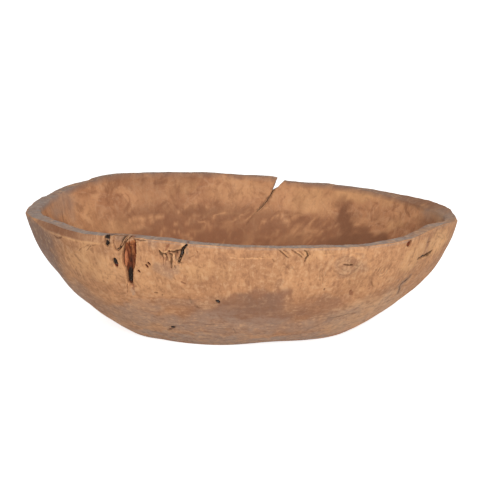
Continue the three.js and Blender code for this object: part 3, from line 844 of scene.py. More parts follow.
def skin_cells():
    """Rectangles that cover the skin, as column, row, width and height in fine steps."""
    columns = []
    rows = []
    strides = []
    for row in range(SKIN_TOP):
        radius = skin_point(np.zeros(1), np.array([row + 0.5]))[0, 0] / (RIM_LENGTH / 2)
        doublings = np.log2(WIDEST_CELL / max(radius, SMALLEST_RING))
        stride = 2 ** int(np.clip(doublings, 0, MOST_DOUBLINGS))
        starts = np.arange(0, COLUMNS, stride)
        columns.append(starts)
        rows.append(np.full(len(starts), row))
        strides.append(np.full(len(starts), stride))
    columns, rows, strides = (np.concatenate(part) for part in (columns, rows, strides))
    bearing = column_bearing(columns + strides / 2)
    levels = cell_levels(skin_point(bearing, rows + 0.5), bearing, rows + 0.5)
    cells = []
    for column, row, stride, level in np.stack([columns, rows, strides, levels], axis=1).tolist():
        wide = stride * FINE // level
        high = FINE // level
        for i, j in np.ndindex(level, level):
            cells.append((column * FINE + i * wide, row * FINE + j * high, wide, high))
    return cells


def corners_between(line, start, end):
    """Numbers of the marked corners of a line, strictly between two of its corners."""
    found = line.find(1, start + 1, end)
    while found != -1:
        yield found
        found = line.find(1, found + 1, end)


def weave_skin(cells):
    """Bearings, rows and faces of the cells: a face takes in each corner that lies on its edges."""
    around = COLUMNS * FINE
    top = SKIN_TOP * FINE
    marked = np.zeros((top + 1, around), np.uint8)
    for column, row, wide, high in cells:
        for u in (column, (column + wide) % around):
            marked[row, u] = 1
            marked[row + high, u] = 1
    marked[[0, top]] = 0
    marked[[0, top], 0] = 1
    number = (np.cumsum(marked.ravel()).reshape(marked.shape) - 1).tolist()
    level_lines = [line.tobytes() for line in marked]
    upright_lines = [line.tobytes() for line in np.ascontiguousarray(marked.T)]
    faces = []
    for column, row, wide, high in cells:
        left = column
        right = (column + wide) % around
        face = []
        if row == 0:
            face.append(0)
        else:
            face.append(number[row][left])
            face.extend(number[row][u] for u in corners_between(level_lines[row], column, column + wide))
            face.append(number[row][right])
        face.extend(number[v][right] for v in corners_between(upright_lines[right], row, row + high))
        if row + high == top:
            face.append(number[top][0])
        else:
            face.append(number[row + high][right])
            upper = corners_between(level_lines[row + high], column, column + wide)
            face.extend(reversed([number[row + high][u] for u in upper]))
            face.append(number[row + high][left])
        lefts = corners_between(upright_lines[left], row, row + high)
        face.extend(reversed([number[v][left] for v in lefts]))
        faces.append(face)
    rows, columns = np.nonzero(marked)
    return column_bearing(columns / FINE), rows / FINE, faces


# Meshes

def new_piece(name, mesh):
    piece = bpy.data.objects.new(name, mesh)
    bpy.context.scene.collection.objects.link(piece)
    return piece


def mesh_of(name, points, faces):
    mesh = bpy.data.meshes.new(name)
    mesh.from_pydata(points * MM, [], faces)
    mesh.update()
    return mesh


def places_of(mesh):
    flat = np.zeros(len(mesh.vertices) * 3, np.float32)
    mesh.vertices.foreach_get("co", flat)
    return flat.reshape(-1, 3).astype(float) / MM


def normals_of(mesh):
    flat = np.zeros(len(mesh.vertices) * 3, np.float32)
    mesh.vertex_normals.foreach_get("vector", flat)
    return flat.reshape(-1, 3).astype(float)


def move_vertices(mesh, points):
    mesh.vertices.foreach_set("co", (points * MM).astype(np.float32).ravel())
    mesh.update()


def paint(mesh, name, values, kind="FLOAT", field="value"):
    layer = mesh.attributes.new(name, kind, "POINT")
    layer.data.foreach_set(field, np.asarray(values, np.float32).ravel())


def paint_vector(mesh, name, values):
    paint(mesh, name, values, "FLOAT_VECTOR", "vector")


def paint_colour(mesh, name, values):
    paint(mesh, name, np.insert(values, 3, 1, axis=1), "FLOAT_COLOR", "color")


def plain_mesh(piece):
    """The piece's mesh with its modifiers worked in."""
    graph = bpy.context.evaluated_depsgraph_get()
    mesh = bpy.data.meshes.new_from_object(piece.evaluated_get(graph))
    piece.modifiers.clear()
    piece.data = mesh
    return piece


def rework(mesh, work):
    """Puts a mesh through one piece of work of the mesh editor."""
    shape = bmesh.new()
    shape.from_mesh(mesh)
    work(shape)
    shape.to_mesh(mesh)
    shape.free()


def weld(shape, reach):
    bmesh.ops.remove_doubles(shape, verts=shape.verts[:], dist=reach)


def seat(piece, node, slot, finish):
    piece.data.shade_smooth()
    piece.data.materials.clear()
    piece.data.materials.append(finish)
    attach(piece, "root")
    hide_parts(node)


# The skin of the bowl

# Layers painted on the skin; dark, pale and bark also carry painted shade and painted highlights in places,
# and deep is painted shade low in the inside
TINTS = ("dark", "pale", "grey", "ash", "heart", "bark", "rust", "inside", "deep", "upright")
EVERYWHERE = slice(None)

# Weather on the rim: bearings and spreads of the break at the knot, the tan spots and the brown far right,
# and the bearings of the brown and the pale part of the left bevel
KNOT_BREAK = (239, 5)
TAN_SPOTS = ((326, 7), (346, 7))
FAR_RIGHT = (24, 14)
BROWN_BEVEL = 217
PALE_BEVEL = 233

# Pale strands in the low back of the inside: their slant, length and width
STRAND_SLANT = 35
STRAND_LENGTH = 24
STRAND_WIDTH = 10

# The grain inside is another one than outside, and edges sharper than an angle stay sharp
INSIDE_SHIFT = 300
SHARP_ANGLE = 55


class Skin:
    """The bowl's vertices with what the relief and the tints need to know of each."""

    def __init__(self, mesh, bearing, row):
        self.points = places_of(mesh)
        self.normals = normals_of(mesh)
        self.bearing = bearing
        self.on, self.share = stretches(row)
        self.outer = self.on["wall"] | self.on["foot"]
        self.inner = self.on["inside"] | self.on["lip"]
        self.on_rim = np.where(self.on["rim"] | self.on["lip"], 1.0, 0.0)
        self.below = rim_top(bearing)[:, 2] - self.points[:, 2]
        self.depth = np.zeros(len(row))
        self.tint = {name: np.zeros(len(row)) for name in TINTS}

    def near(self, middle, reach, part):
        """The vertices of a part within reach of a point."""
        return (np.linalg.norm(self.points - middle, axis=1) < reach) & part

    def stain(self, name, where, amount):
        layer = self.tint[name]
        layer[where] = np.maximum(layer[where], amount)


def rim_lift(bearing):
    lift = np.zeros(len(bearing))
    for start, end, ease_in, ease_out, up in RIM_LIFTS.values():
        turn = np.where(bearing < start - 20, bearing + 360, bearing)
        lift += up * smooth(turn, start - ease_in, start) * (1 - smooth(turn, end, end + ease_out))
    return lift


def hew_outside(skin):
    """Low waves and swells left by the adze."""
    height = skin.points[:, 2]
    waves = 0.7 * cloud(skin.points, 46, 11, 2) + 0.22 * cloud(skin.points, 9, 14, 2)
    fade = smooth(skin.below, 0, 12)
    skin.depth += np.where(skin.on["wall"], waves * fade * smooth(height, 0, 6), 0)
    for bearing, spread, middle, reach, out in WALL_SWELLS.values():
        swell = near_bearing(skin.bearing, bearing, spread) * bell(height - middle, reach)
        skin.depth += np.where(skin.on["wall"], out * swell, 0)


def gouge_inside(skin):
    """Soft upright flutes left by the gouge."""
    flutes = 0.9 * cloud(in_plane(skin.bearing / 5.5, skin.below / 60), 1, 21, 2)
    flutes += 0.6 * cloud(skin.points, 30, 24, 2)
    skin.depth += np.where(skin.on["inside"], flutes * smooth(skin.below, 1, 18), 0)


def wear_foot_and_rim(skin):
    """The foot is worn up at the front, the rim lifted in places, rounded at the right end and uneven."""
    foot_wear = FOOT_WEAR * near_bearing(skin.bearing, FOOT_WEAR_BEARING, FOOT_WEAR_SPREAD)
    foot_edge = np.where(skin.on["wall"], 1 - smooth(skin.points[:, 2], 0, 18), 0)
    foot_edge = np.where(skin.on["foot"], smooth(skin.share, 0.5, 1), foot_edge)
    skin.points[:, 2] += foot_wear * foot_edge
    skin.points[:, 2] += rim_lift(skin.bearing) * (1 - smooth(skin.below, 0, 16)) * ~skin.on["foot"]
    inner_edge = np.where(skin.on["rim"], skin.share**1.6, 0) + skin.on["lip"]
    inner_edge += np.where(skin.on["inside"], 1 - smooth(skin.below, 0, 32), 0)
    skin.points[:, 2] -= ROUND_END * right_end(skin.bearing) * inner_edge
    worn = 0.6 * cloud(skin.points, 16, 31, 2) + 0.2 * cloud(skin.points, 4, 34)
    edge = skin.on["rim"] | skin.on["bevel"] | skin.on["lip"]
    skin.depth += np.where(edge, worn, worn * bell(skin.below, 5) * (skin.outer | skin.inner))


# The charred arm along the knot's right side
KNOT_ARM = [(8.2, 5.2), (5.4, 0.9), (3.2, -3.2), (1.2, -6.4), (-2, -8.2)]


def knot_char(x, y):
    """The arm is thick at the rim and thin at its lower end, with breaks."""
    lumps = cloud(in_plane(x, y), 2, 43, 2)
    flat = np.stack([x, y], axis=1)
    away, share = path_distance(flat + 0.5 * lumps[:, None], smooth_path(KNOT_ARM))
    half = 1.25 - 0.6 * share
    gap = 0.8 * bell(share - 0.4, 0.11)
    return 0.9 * (1 - gap) * (1 - smooth(away, 0.55 * half, 1.15 * half)) * smooth(lumps, -0.35, 0.3)


def cut_pockets(skin):
    """Sinks each pocket into the wall, with a worn edge, a charred floor and stains beside it."""
    for name, (bearing, below, outline) in POCKETS.items():
        wall = WallFrame(bearing, below)
        near = skin.near(wall.origin, reach_of(outline) + TRACE_REACH, ~skin.inner)
        local = wall.local(skin.points[near])
        local[:, :2] -= drift_of(name)
        away = outline_distance(local[:, :2], outline)
        ragged = 0.25 * cloud(skin.points[near], 1.6, 41)
        small = min(1, reach_of(outline) / 8)
        cut = 1 - smooth(away + ragged * small, SEAT_GAP, SEAT_GAP + POCKET_LIP * small)
        cut *= local[:, 2] > -POCKET_DEPTH
        rounded = 0.3 * small * bell(np.maximum(away, 0), 1.6)
        drop = (local[:, 2] + POCKET_DEPTH) * cut + rounded * (1 - cut)
        skin.points[near] -= drop[:, None] * wall.axes[2]
        charred = smooth(cut, 0.55, 1)
        beside = small * bell(np.maximum(away, 0), 0.8)
        if name == "rim_knot":
            arm = knot_char(local[:, 0], local[:, 1])
            charred *= arm * smooth(local[:, 2], -4.5, -2)
            beside *= arm
        if name == "long_pocket":
            skin.stain("rust", near, 0.9 * charred)
            charred *= 0.3
        skin.stain("bark", near, 0.9 * charred)
        skin.stain("rust", near, 0.35 * beside)
        skin.stain("pale", near, 0.6 * small * bell(away - 1.7, 0.8))


def show_heartwood(skin):
    """Dark figures with ragged edges on the lower front."""
    ragged = 2.2 * cloud(skin.points, 8, 181, 3)
    for soft, heart, ash, places in HEARTWOOD.values():
        wall = WallFrame(*np.mean(places, axis=0))
        outline = wall.local(wall_points(places))[:, :2]
        near = skin.near(wall.origin, reach_of(outline) + TRACE_REACH, skin.on["wall"])
        away = outline_distance(wall.local(skin.points[near])[:, :2], outline) + ragged[near]
        cover = 1 - smooth(away, -soft, soft)
        cover *= 0.85 + 0.3 * cloud(skin.points[near], np.array([14, 14, 5]), 185, 2)
        skin.stain("heart", near, heart * cover)
        skin.stain("ash", near, ash * cover)
        skin.stain("dark", near, 0.25 * heart * bell(away, 1.4))


def cut_cracks(skin):
    """Cuts or raises the lines of both walls, with wandering edges, and gives them their tints."""
    tables = ((CRACKS, wall_points, ~skin.inner), (INSIDE_CRACKS, inside_points, skin.inner))
    for cracks, place, shown in tables:
        for crack in cracks.values():
            line = smooth_path(place(crack["path"]))
            middle = line.mean(axis=0)
            reach = np.linalg.norm(line - middle, axis=1).max() + 3 + crack["width"]
            near = skin.near(middle, reach, shown)
            points = skin.points[near]
            wander = np.stack([cloud(points, 2.2, seed) for seed in (51, 52, 53)], axis=1)
            away, share = path_distance(points + 0.45 * wander, line)
            thin = 0.45 + 0.55 * np.sqrt(np.sin(np.pi * np.clip(share, 0.02, 0.98)))
            half = crack["width"] / 2 * thin * (0.8 + 0.5 * cloud(points, 1.7, 54))
            cut = 1 - smooth(away, half * 0.55, half * 1.3)
            skin.depth[near] -= crack["depth"] * cut
            cut *= 0.7 + 0.3 * smooth(cloud(points, 1.5, 55), -0.35, 0.25)
            for name, strength in crack["tints"].items():
                skin.stain(name, near, strength * cut)


def tear_burr(skin):
    """The torn patch under the front rim: a broken ledge with fibres hanging below it, with painted shadow
    under the ledge and a painted highlight along its lip.
    """
    ledge = smooth_path(wall_points(TORN_LEDGE))
    near = skin.near(ledge.mean(axis=0), TORN_REACH, skin.on["wall"])
    wall = WallFrame(*TORN_MIDDLE)
    x, y, _ = wall.local(skin.points[near]).T
    lip = wall.local(ledge)
    edge = np.interp(x, lip[:, 0], lip[:, 1])
    beside = smooth(x, -11, -8) * (1 - smooth(x, 8, 11))
    ragged = 0.7 * cloud(in_plane(x, 0 * x), 1.3, 61)
    under = edge + ragged - y
    hollow = smooth(under, -0.3, 0.5) * (1 - smooth(under, 3, 17)) * beside
    fibres = cloud(in_plane(x, y / 9), 1.1, 62)
    skin.depth[near] -= hollow * (1.1 + 0.6 * fibres)
    # Painted shadow under the ledge, and a painted highlight just above it along the lip
    shadow = smooth(under, -0.2, 0.3) * (1 - smooth(under, 0.6, 1.6)) * beside
    skin.stain("bark", near, 0.5 * shadow * (fibres > -0.5))
    skin.stain("pale", near, 0.6 * bell(under + 0.8, 0.8) * beside)
    skin.stain("pale", near, 0.7 * hollow * smooth(fibres, 0.25, 0.6))
    skin.stain("rust", near, 0.4 * hollow * smooth(-fibres, 0.25, 0.6))


# Eyes of the burr: place, how wide they are for their height, distance of the rings, and where these fade
EYES = {
    "eye": ((297.5, 18.3), 1.4, 4, 19),
    "shell": ((309.2, 27.3), 0.62, 3.8, 16),
}
EYE_REACH = 26


def ring_eyes(skin):
    """The burr's eyes: low rings, dark and pale in turn."""
    for place, wide, pitch, reach in EYES.values():
        wall = WallFrame(*place)
        near = skin.near(wall.origin, EYE_REACH, skin.on["wall"])
        x, y, _ = wall.local(skin.points[near]).T
        away = np.hypot(x / wide, y) + 2.6 * cloud(skin.points[near], 9, 71, 2)
        fade = 1 - smooth(away, 0.45 * reach, reach)
        ring = np.cos(2 * np.pi * away / pitch)
        patchy = smooth(cloud(skin.points[near], 6, 74), -0.9, 0.1)
        skin.depth[near] += 0.25 * ring * fade - 0.6 * bell(away, 4)
        skin.stain("dark", near, 0.6 * fade * smooth(ring, 0.3, 1) * patchy)
        skin.stain("pale", near, 0.7 * fade * smooth(-ring, 0.3, 1) * patchy)


def stain_and_shade_walls(skin, warp):
    mottled = np.clip(0.95 + 0.35 * cloud(skin.points, np.array([9, 9, 12]), 95, 3), 0.4, 1.2)
    tables = ((STAINS, wall_points, skin.outer), (INSIDE_STAINS, inside_points, skin.inner))
    for stains, place, shown in tables:
        warped = skin.points[shown] + warp[shown]
        for middle, along, down, dark, ash in stains.values():
            x, y, z = (warped - place([middle])[0]).T
            away = (np.hypot(x, y) / along) ** 2 + (z / down) ** 2
            amount = (1 - smooth(away, 0.35, 1.6)) * mottled[shown]
            skin.stain("dark" if dark > 0 else "pale", shown, abs(dark) * amount)
            skin.stain("ash", shown, ash * amount)


def feather_back(skin, warp):
    """Pale strands that rise to the right on the low back of the inside, and painted shade that darkens that
    low back between them.
    """
    x, _, z = skin.points.T
    slant = np.radians(STRAND_SLANT)
    rising = x * np.cos(slant) + z * np.sin(slant)
    crossing = z * np.cos(slant) - x * np.sin(slant)
    feathers = in_plane(rising / STRAND_LENGTH, crossing / STRAND_WIDTH) + warp / 16
    strands = bell(cloud(feathers, 1, 98, 2), 0.2)
    low_back = smooth(skin.below, 24, 42) * smooth(np.sin(np.radians(skin.bearing)), 0.5, 0.85)
    skin.stain("pale", skin.inner, 0.5 * (strands * low_back)[skin.inner])
    # Painted shade on the low back of the inside, between the strands
    skin.stain("dark", skin.inner, 0.75 * ((1 - strands) * low_back)[skin.inner])


def weather_rim(skin, patchy):
    """Grey round the rim, brown along the back and tan at the right, painted shade on the outer half and a
    painted highlight on the inner half of the rounded right end, with the wedge's black across it.
    """
    bearing = skin.bearing
    on_rim = skin.on_rim
    right = right_end(bearing)
    far = smooth(np.sin(np.radians(bearing)), 0.15, 0.6)
    far_right = near_bearing(bearing, *FAR_RIGHT)
    tan = sum(near_bearing(bearing, *spot) for spot in TAN_SPOTS)
    near_rim = bell(skin.below - RIM_FALL, 1.5) * skin.outer
    grey = np.maximum(on_rim, 0.7 * near_rim) * (1 - 0.75 * near_bearing(bearing, *KNOT_BREAK))
    grey *= 1 - 0.75 * right - 0.75 * tan
    grey *= (1 - 0.75 * far) * (1 - 0.8 * far_right)
    skin.stain("grey", EVERYWHERE, np.clip(grey * (1 + 0.5 * patchy), 0, 1))
    streaks = cloud(in_plane(bearing / 7, 5 * skin.share), 1, 97, 2)
    edges = np.where(skin.on["rim"], bell(skin.share, 0.14) + bell(skin.share - 1, 0.14), 0)
    across = np.where(skin.on["rim"], skin.share, 1)
    brown = (0.3 * (1 - right) + 0.35 * far + 0.7 * far_right) * (1 + patchy)
    brown += 0.3 * smooth(streaks, 0, 0.6) + 0.3 * edges * (1 - right)
    # Painted shade on the outer half of the rounded right end
    brown += 0.9 * right * (1 - across)
    skin.stain("dark", EVERYWHERE, np.clip(brown * on_rim, 0, 1))
    skin.stain("ash", EVERYWHERE, 0.65 * on_rim * right * across * (1 - far_right))
    # Painted highlight on the inner half of the rounded right end, with the wood's own tan spots
    skin.stain("pale", EVERYWHERE, on_rim * (0.8 * right * across + 0.5 * tan))
    skin.stain("inside", EVERYWHERE, on_rim * right)
    wedge = near_bearing(bearing, POCKETS["rim_bark_wedge"][0] + 0.2, 0.6)
    wedge *= skin.on["rim"] * (1 - smooth(skin.share, 0.9, 1.05))
    skin.stain("bark", EVERYWHERE, 0.85 * wedge)


def weather_bevels(skin, patchy):
    """A pale ridge under each bevel, and brown faces that are warmer at the left."""
    drop, _ = bevel_worn(skin.bearing)
    ridge = outer_wall(skin.bearing, bevel_share(skin.bearing))[:, 2]
    on_ridge = bell(skin.points[:, 2] - ridge, 0.9) * ~skin.inner * smooth(drop, 0.8, 3)
    skin.stain("pale", EVERYWHERE, np.clip(on_ridge * (0.9 + 0.5 * patchy), 0, 1))
    face = skin.on["bevel"] * smooth(drop, 1.5, 3.5)
    skin.tint["grey"] *= 1 - face
    brown = 0.75 + 0.35 * near_bearing(skin.bearing, BROWN_BEVEL, 7)
    brown -= 0.55 * near_bearing(skin.bearing, PALE_BEVEL, 6)
    skin.stain("dark", EVERYWHERE, brown * face * (1 - on_ridge))
    skin.stain("inside", EVERYWHERE, 0.9 * face * near_bearing(skin.bearing, BROWN_BEVEL, 12))


def tint_skin(skin):
    warp = np.stack([cloud(skin.points, 13, seed, 2) for seed in (81, 82, 83)], axis=1) * 7
    patchy = cloud(skin.points, 9, 91, 3)
    stain_and_shade_walls(skin, warp)
    feather_back(skin, warp)
    weather_rim(skin, patchy)
    weather_bevels(skin, patchy)
    skin.stain("inside", skin.inner, 1)
    # Painted shade: the inside grows darker with depth below the rim
    skin.tint["deep"] = np.where(skin.inner, smooth(skin.below, 24, 70), 0.0)
    skin.tint["upright"] = np.where(skin.outer, 1 - smooth(skin.below, 45, 62), 1.0)


def grain_coordinates(skin):
    """Across the grain, along it and through it: round the bowl, up the wall and from the outside in."""
    turn = np.radians(away_from(skin.bearing, BACK))
    radius = (RIM_LENGTH + RIM_WIDTH) / 4
    return np.stack([turn * radius, skin.points[:, 2], skin.tint["inside"] * INSIDE_SHIFT], axis=1)


def split_blade():
    """The notch and the crack as one leaning, slanted blade with uneven flanks."""
    above = SPLIT_STEP + 8
    notch = np.array([-SPLIT_NOTCH_LEAN, -SPLIT_NOTCH])
    tip = np.array([-SPLIT_LEAN, -SPLIT_DEPTH])
    bend = np.array([(notch[0] + tip[0]) / 2, notch[1] + (tip[1] - notch[1]) * SPLIT_BEND])
    t = np.linspace(0, 1, BLADE_STEPS)[:, None]
    crack = notch * (1 - t) ** 2 + bend * 2 * t * (1 - t) + tip * t**2
    half = np.linspace(SPLIT_CRACK / 2, SPLIT_TIP / 2, BLADE_STEPS)[:, None] * np.array([1, 0])
    right = SPLIT_MOUTH / 2
    mouth = np.array([[right, -SPLIT_STEP / 2], [right, above], [-right, above], [-right, 0]])
    outline = np.concatenate([crack - half, (crack + half)[::-1], mouth])
    quarters = np.linspace(0, 1, 5)[:-1]
    sides = zip(outline, np.roll(outline, -1, axis=0))
    outline = np.concatenate([between(start, end, quarters) for start, end in sides])
    top = rim_top(np.array([float(SPLIT_BEARING)]))[0]
    out = np.array([top[0], top[1], 0]) / np.hypot(top[0], top[1])
    along = np.array([out[1], -out[0], 0])
    up = np.array([0, 0, 1])
    through = along * SPLIT_SLANT - out
    wall = outer_wall(np.full(200, float(SPLIT_BEARING)), np.linspace(0, 1, 200))
    inset = np.hypot(*top[:2]) - np.hypot(wall[:, 0], wall[:, 1])
    lean = np.interp(-outline[:, 1], top[2] - wall[:, 2], inset)
    below_notch = smooth(-outline[:, 1], SPLIT_NOTCH - 3, SPLIT_NOTCH + 4)
    rings = []
    for depth in np.linspace(-SPLIT_DEPTH, SPLIT_DEPTH, BLADE_RINGS):
        ring = top + outline[:, :1] * along + outline[:, 1:] * up + depth * through
        crook = -SPLIT_CROOK * (1 - smooth(depth - lean, 1, RIM_WALL_SIDES - 2))
        uneven = 0.35 * cloud(ring, 5, 101, 2) + crook * below_notch
        rings.append(ring + uneven[:, None] * along)
    count = len(outline)
    last = BLADE_RINGS - 1
    faces = [tuple(range(count))[::-1], tuple(range(count * last, count * BLADE_RINGS))]
    for i, j in np.ndindex(last, count):
        here = i * count
        after = (j + 1) % count
        faces.append((here + j, here + after, here + count + after, here + count + j))
    return new_piece("split_blade", mesh_of("split_blade", np.concatenate(rings), faces))


def close_cut(shape):
    """Welds the corners that lie together along the cut and divides its many-sided faces."""
    weld(shape, CUT_WELD * MM)
    many_sided = [face for face in shape.faces if len(face.verts) > 4]
    bmesh.ops.triangulate(shape, faces=many_sided, ngon_method="BEAUTY")


def cut_split(bowl):
    blade = split_blade()
    # Painted shade on the blade, for the crack's flanks that it cuts
    paint(blade.data, "bark", np.full(len(blade.data.vertices), 0.6))
    rework(blade.data, lambda shape: bmesh.ops.recalc_face_normals(shape, faces=shape.faces))
    cut = bowl.modifiers.new("split", "BOOLEAN")
    cut.operation = "DIFFERENCE"
    cut.solver = "EXACT"
    cut.object = blade
    plain_mesh(bowl)
    bpy.data.objects.remove(blade)
    rework(bowl.data, close_cut)


def hewn_bowl():
    bearing, row, faces = weave_skin(skin_cells())
    mesh = mesh_of("hewn_bowl", skin_point(bearing, row), faces)
    skin = Skin(mesh, bearing, row)
    hew_outside(skin)
    gouge_inside(skin)
    wear_foot_and_rim(skin)
    tear_burr(skin)
    ring_eyes(skin)
    cut_cracks(skin)
    tint_skin(skin)
    show_heartwood(skin)
    cut_pockets(skin)
    lift = skin.depth * ~skin.on["foot"]
    move_vertices(mesh, skin.points + lift[:, None] * skin.normals)
    for name, values in skin.tint.items():
        paint(mesh, name, values)
    paint_vector(mesh, "grain", grain_coordinates(skin))
    bowl = new_piece("hewn_bowl", mesh)
    cut_split(bowl)
    seat(bowl, "bowl_body", "burr_wood", burr_wood("burr_wood"))
    bowl.data.set_sharp_from_angle(angle=np.radians(SHARP_ANGLE))


# Pieces that sit in the pockets: the weld and the cells of their meshes, and their colours

SOLID_WELD = 0.001
INSERT_CELL = 0.34
KNOT_CELL = 0.4
GOLDEN_BARK = (0.45, 0.17, 0.064)
ORANGE_BARK = (0.57, 0.21, 0.098)
BROWN_BARK = (0.40, 0.14, 0.056)
RED_BARK = (0.19, 0.055, 0.026)
DARK_RED = (0.14, 0.030, 0.017)
CHAR = (0.026, 0.018, 0.014)
ASH = (0.12, 0.10, 0.09)
TAN_WOOD = (0.50, 0.26, 0.14)
STREAK_BLACK = (0.012, 0.008, 0.007)
STREAK_TAN = (0.55, 0.30, 0.17)


def coats(count, base, *layers):
    """A colour for each vertex: a base, then coats that each have their own cover."""
    tone = np.tile(np.array(base, float), (count, 1))
    for cover, colour in layers:
        tone += (np.array(colour) - tone) * np.clip(cover, 0, 1)[:, None]
    return tone


def fibrous(x, y, size, seed):
    """Streaks that run up the wall."""
    return cloud(in_plane(x, y / 7), size, seed, 2)


def crumbly(x, y, size, seed):
    return cloud(in_plane(x, y), size, seed, 2)


def shape_lining(x, y):
    """A golden ridge on the right, a pale brow at the top, and dark red bark between and beside them."""
    flat = np.stack([x, y], axis=1)
    clear = np.minimum(outline_distance(flat, SLIP_OUTLINE), outline_distance(flat, CORE_OUTLINE))
    clear = smooth(clear, 0.4, 1.3)
    crest = 4.3 + 0.16 * (y - 8)
    streak = fibrous(x, y, 1.2, 111)
    golden = bell(x - crest + 0.4 * streak, 1.5) * smooth(y, 3, 8) * (1 - smooth(y, 18, 22))
    brow = smooth(y + 1.4 * streak, 16.5, 20.5)
    top = smooth(y - 0.3 * x + 0.3 * streak, 19, 20.5)
    edge = bell(x - crest - 2.7, 0.9) * smooth(y, -3, 2)
    lower = 1 - smooth(y + streak, -14, -9)
    lower_left = lower * smooth(-x - 0.2 * y, 1.2, 2.4)
    hollow = bell(x - 0.8 - 0.1 * y, 1.7) * bell(y - 2 + 2 * streak, 7)
    beside = smooth(x - 0.16 * y + 0.5 * streak, 1.6, 2.8) * bell(y + 9, 7)
    lift = clear * (2.3 * golden + 2.7 * brow + 0.8 * lower + 0.5 * streak)
    tone = coats(
        len(x),
        RED_BARK,
        (smooth(streak, 0.2, 0.8) * 0.4, CHAR),
        (smooth(-streak, 0, 0.6) * 0.8, BROWN_BARK),
        (edge, DARK_RED),
        (golden * 0.5, GOLDEN_BARK),
        (brow, BROWN_BARK),
        (brow * smooth(-streak, 0.2, 0.8), GOLDEN_BARK),
        (hollow * 0.55, CHAR),
        (lower * 0.9, CHAR),
        (lower_left * 0.4, RED_BARK),
        (beside * 0.95, BROWN_BARK),
        (top, TAN_WOOD),
    )
    return lift, tone


def shape_slip(x, y):
    streak = fibrous(x, y, 0.8, 121)
    end = smooth(np.abs(y - 2), 6, 9)
    tone = coats(len(x), ORANGE_BARK, (smooth(streak, 0.2, 0.8) * 0.5, RED_BARK), (end * 0.5, BROWN_BARK))
    return 0.3 * streak, tone


def shape_core(x, y):
    lump = crumbly(x, y, 1.6, 131)
    upper = smooth(y + 1.5 * lump, -9, -4)
    tone = coats(len(x), CHAR, (smooth(lump, 0.35, 0.9) * 0.6, ASH), (upper * 0.85, RED_BARK))
    return 0.45 * lump, tone


def shape_cup(x, y):
    lump = crumbly(x, y, 1.8, 141)
    charred = knot_char(x, y)
    ashen = charred * smooth(lump, 0.3, 0.8) * 0.7
    return 0.25 * lump, coats(len(x), TAN_WOOD, (charred, CHAR), (ashen, ASH))


def shape_wedge(x, y):
    lump = crumbly(x, y, 1.7, 151)
    broken = bell(y + 0.4 + 0.5 * lump, 0.6)
    left_of = smooth(-x + 0.6 * lump, 0.5, 1.4) * smooth(-y, 0.2, 1.2)
    right_of = smooth(x + 0.6 * lump, 0.9, 1.7) * smooth(y, 2.4, 4)
    tone = coats(len(x), CHAR, (smooth(lump, 0.1, 0.6) * 0.6, ASH), (broken, TAN_WOOD),
                 (left_of * 0.9, TAN_WOOD), (right_of * 0.8, TAN_WOOD))
    return 0.35 * lump, tone


def shape_plug(x, y):
    lump = crumbly(x, y, 1.6, 161)
    lower = smooth(-y, 0.8, 2.2)
    return 0.3 * lump, coats(len(x), CHAR, (smooth(lump, 0.2, 0.8) * 0.5, ASH), (lower, DARK_RED))


def shape_pin(x, y):
    lump = crumbly(x, y, 1.2, 171)
    return 0.2 * lump, coats(len(x), DARK_RED, (smooth(lump, 0.1, 0.7) * 0.6, CHAR))


def shape_right_pin(x, y):
    lump = crumbly(x, y, 1.8, 172)
    border = smooth(np.hypot(x, y), 1.5, 3.2) * 0.7
    tone = coats(len(x), RED_BARK, (border, BROWN_BARK), (smooth(lump, 0.1, 0.7) * 0.4, DARK_RED))
    return 0.2 * lump, tone


def shape_seam(x, y):
    lump = crumbly(x, y, 1.8, 173)
    ashen = smooth(lump, 0.2, 0.8) * 0.6
    woody = smooth(-lump, 0.3, 0.7) * 0.6
    return 0.3 * lump, coats(len(x), CHAR, (ashen, ASH), (woody, TAN_WOOD))


# The visible piece, its node, slot, pocket and shaping
INSERTS = {
    "lining_of_the_pocket": ("pocket_bark_lining", "ingrown_bark", "long_pocket", shape_lining),
    "slip_in_the_pocket": ("pocket_bark_slip", "bark_slip", "long_pocket", shape_slip),
    "core_of_the_pocket": ("pocket_pitch_core", "pitch", "long_pocket", shape_core),
    "cup_of_the_knot": ("rim_knot_bark", "pitch", "rim_knot", shape_cup),
    "wedge_in_the_rim": ("rim_bark_wedge", "pitch", "rim_bark_wedge", shape_wedge),
    "oval_plug": ("oval_bark_plug", "ingrown_bark", "oval_bark_plug", shape_plug),
    "low_pin": ("pin_knot_low", "ingrown_bark", "pin_knot_low", shape_pin),
    "middle_pin": ("pin_knot_mid", "ingrown_bark", "pin_knot_mid", shape_pin),
    "high_pin": ("pin_knot_high", "ingrown_bark", "pin_knot_high", shape_pin),
    "right_pin": ("right_pin_knot", "ingrown_bark", "right_pin_knot", shape_right_pin),
    "low_plug": ("low_pitch_plug", "pitch", "low_pitch_plug", shape_seam),
    "middle_plug": ("middle_pitch_plug", "pitch", "middle_pitch_plug", shape_seam),
    "hooked_seam": ("burr_bark_seam", "pitch", "burr_bark_seam", shape_seam),
    "right_seam": ("right_bark_seam", "pitch", "right_bark_seam", shape_seam),
}


# How each seam grew, and the path of what is left of it
SEAM_PATHS = {
    "burr_bark_seam": (HOOK_PATH, HOOK_LEFT_PATH),
    "right_bark_seam": (RIGHT_SEAM_PATH, RIGHT_SEAM_PATH),
}


def along_path(path, share):
    line = smooth_path(path)
    steps = share * (len(line) - 1)
    return np.stack([np.interp(steps, np.arange(len(line)), side) for side in line.T], axis=1)


def crumbled(local, grown, left):
    """A seam's piece, drawn in to the path and the width that are left of it."""
    _, share = path_distance(local[:, :2], smooth_path(grown))
    across = local[:, :2] - along_path(grown, share)
    drawn = along_path(left, share) + across * seam_left(share)[:, None]
    return np.concatenate([drawn, local[:, 2:]], axis=1)


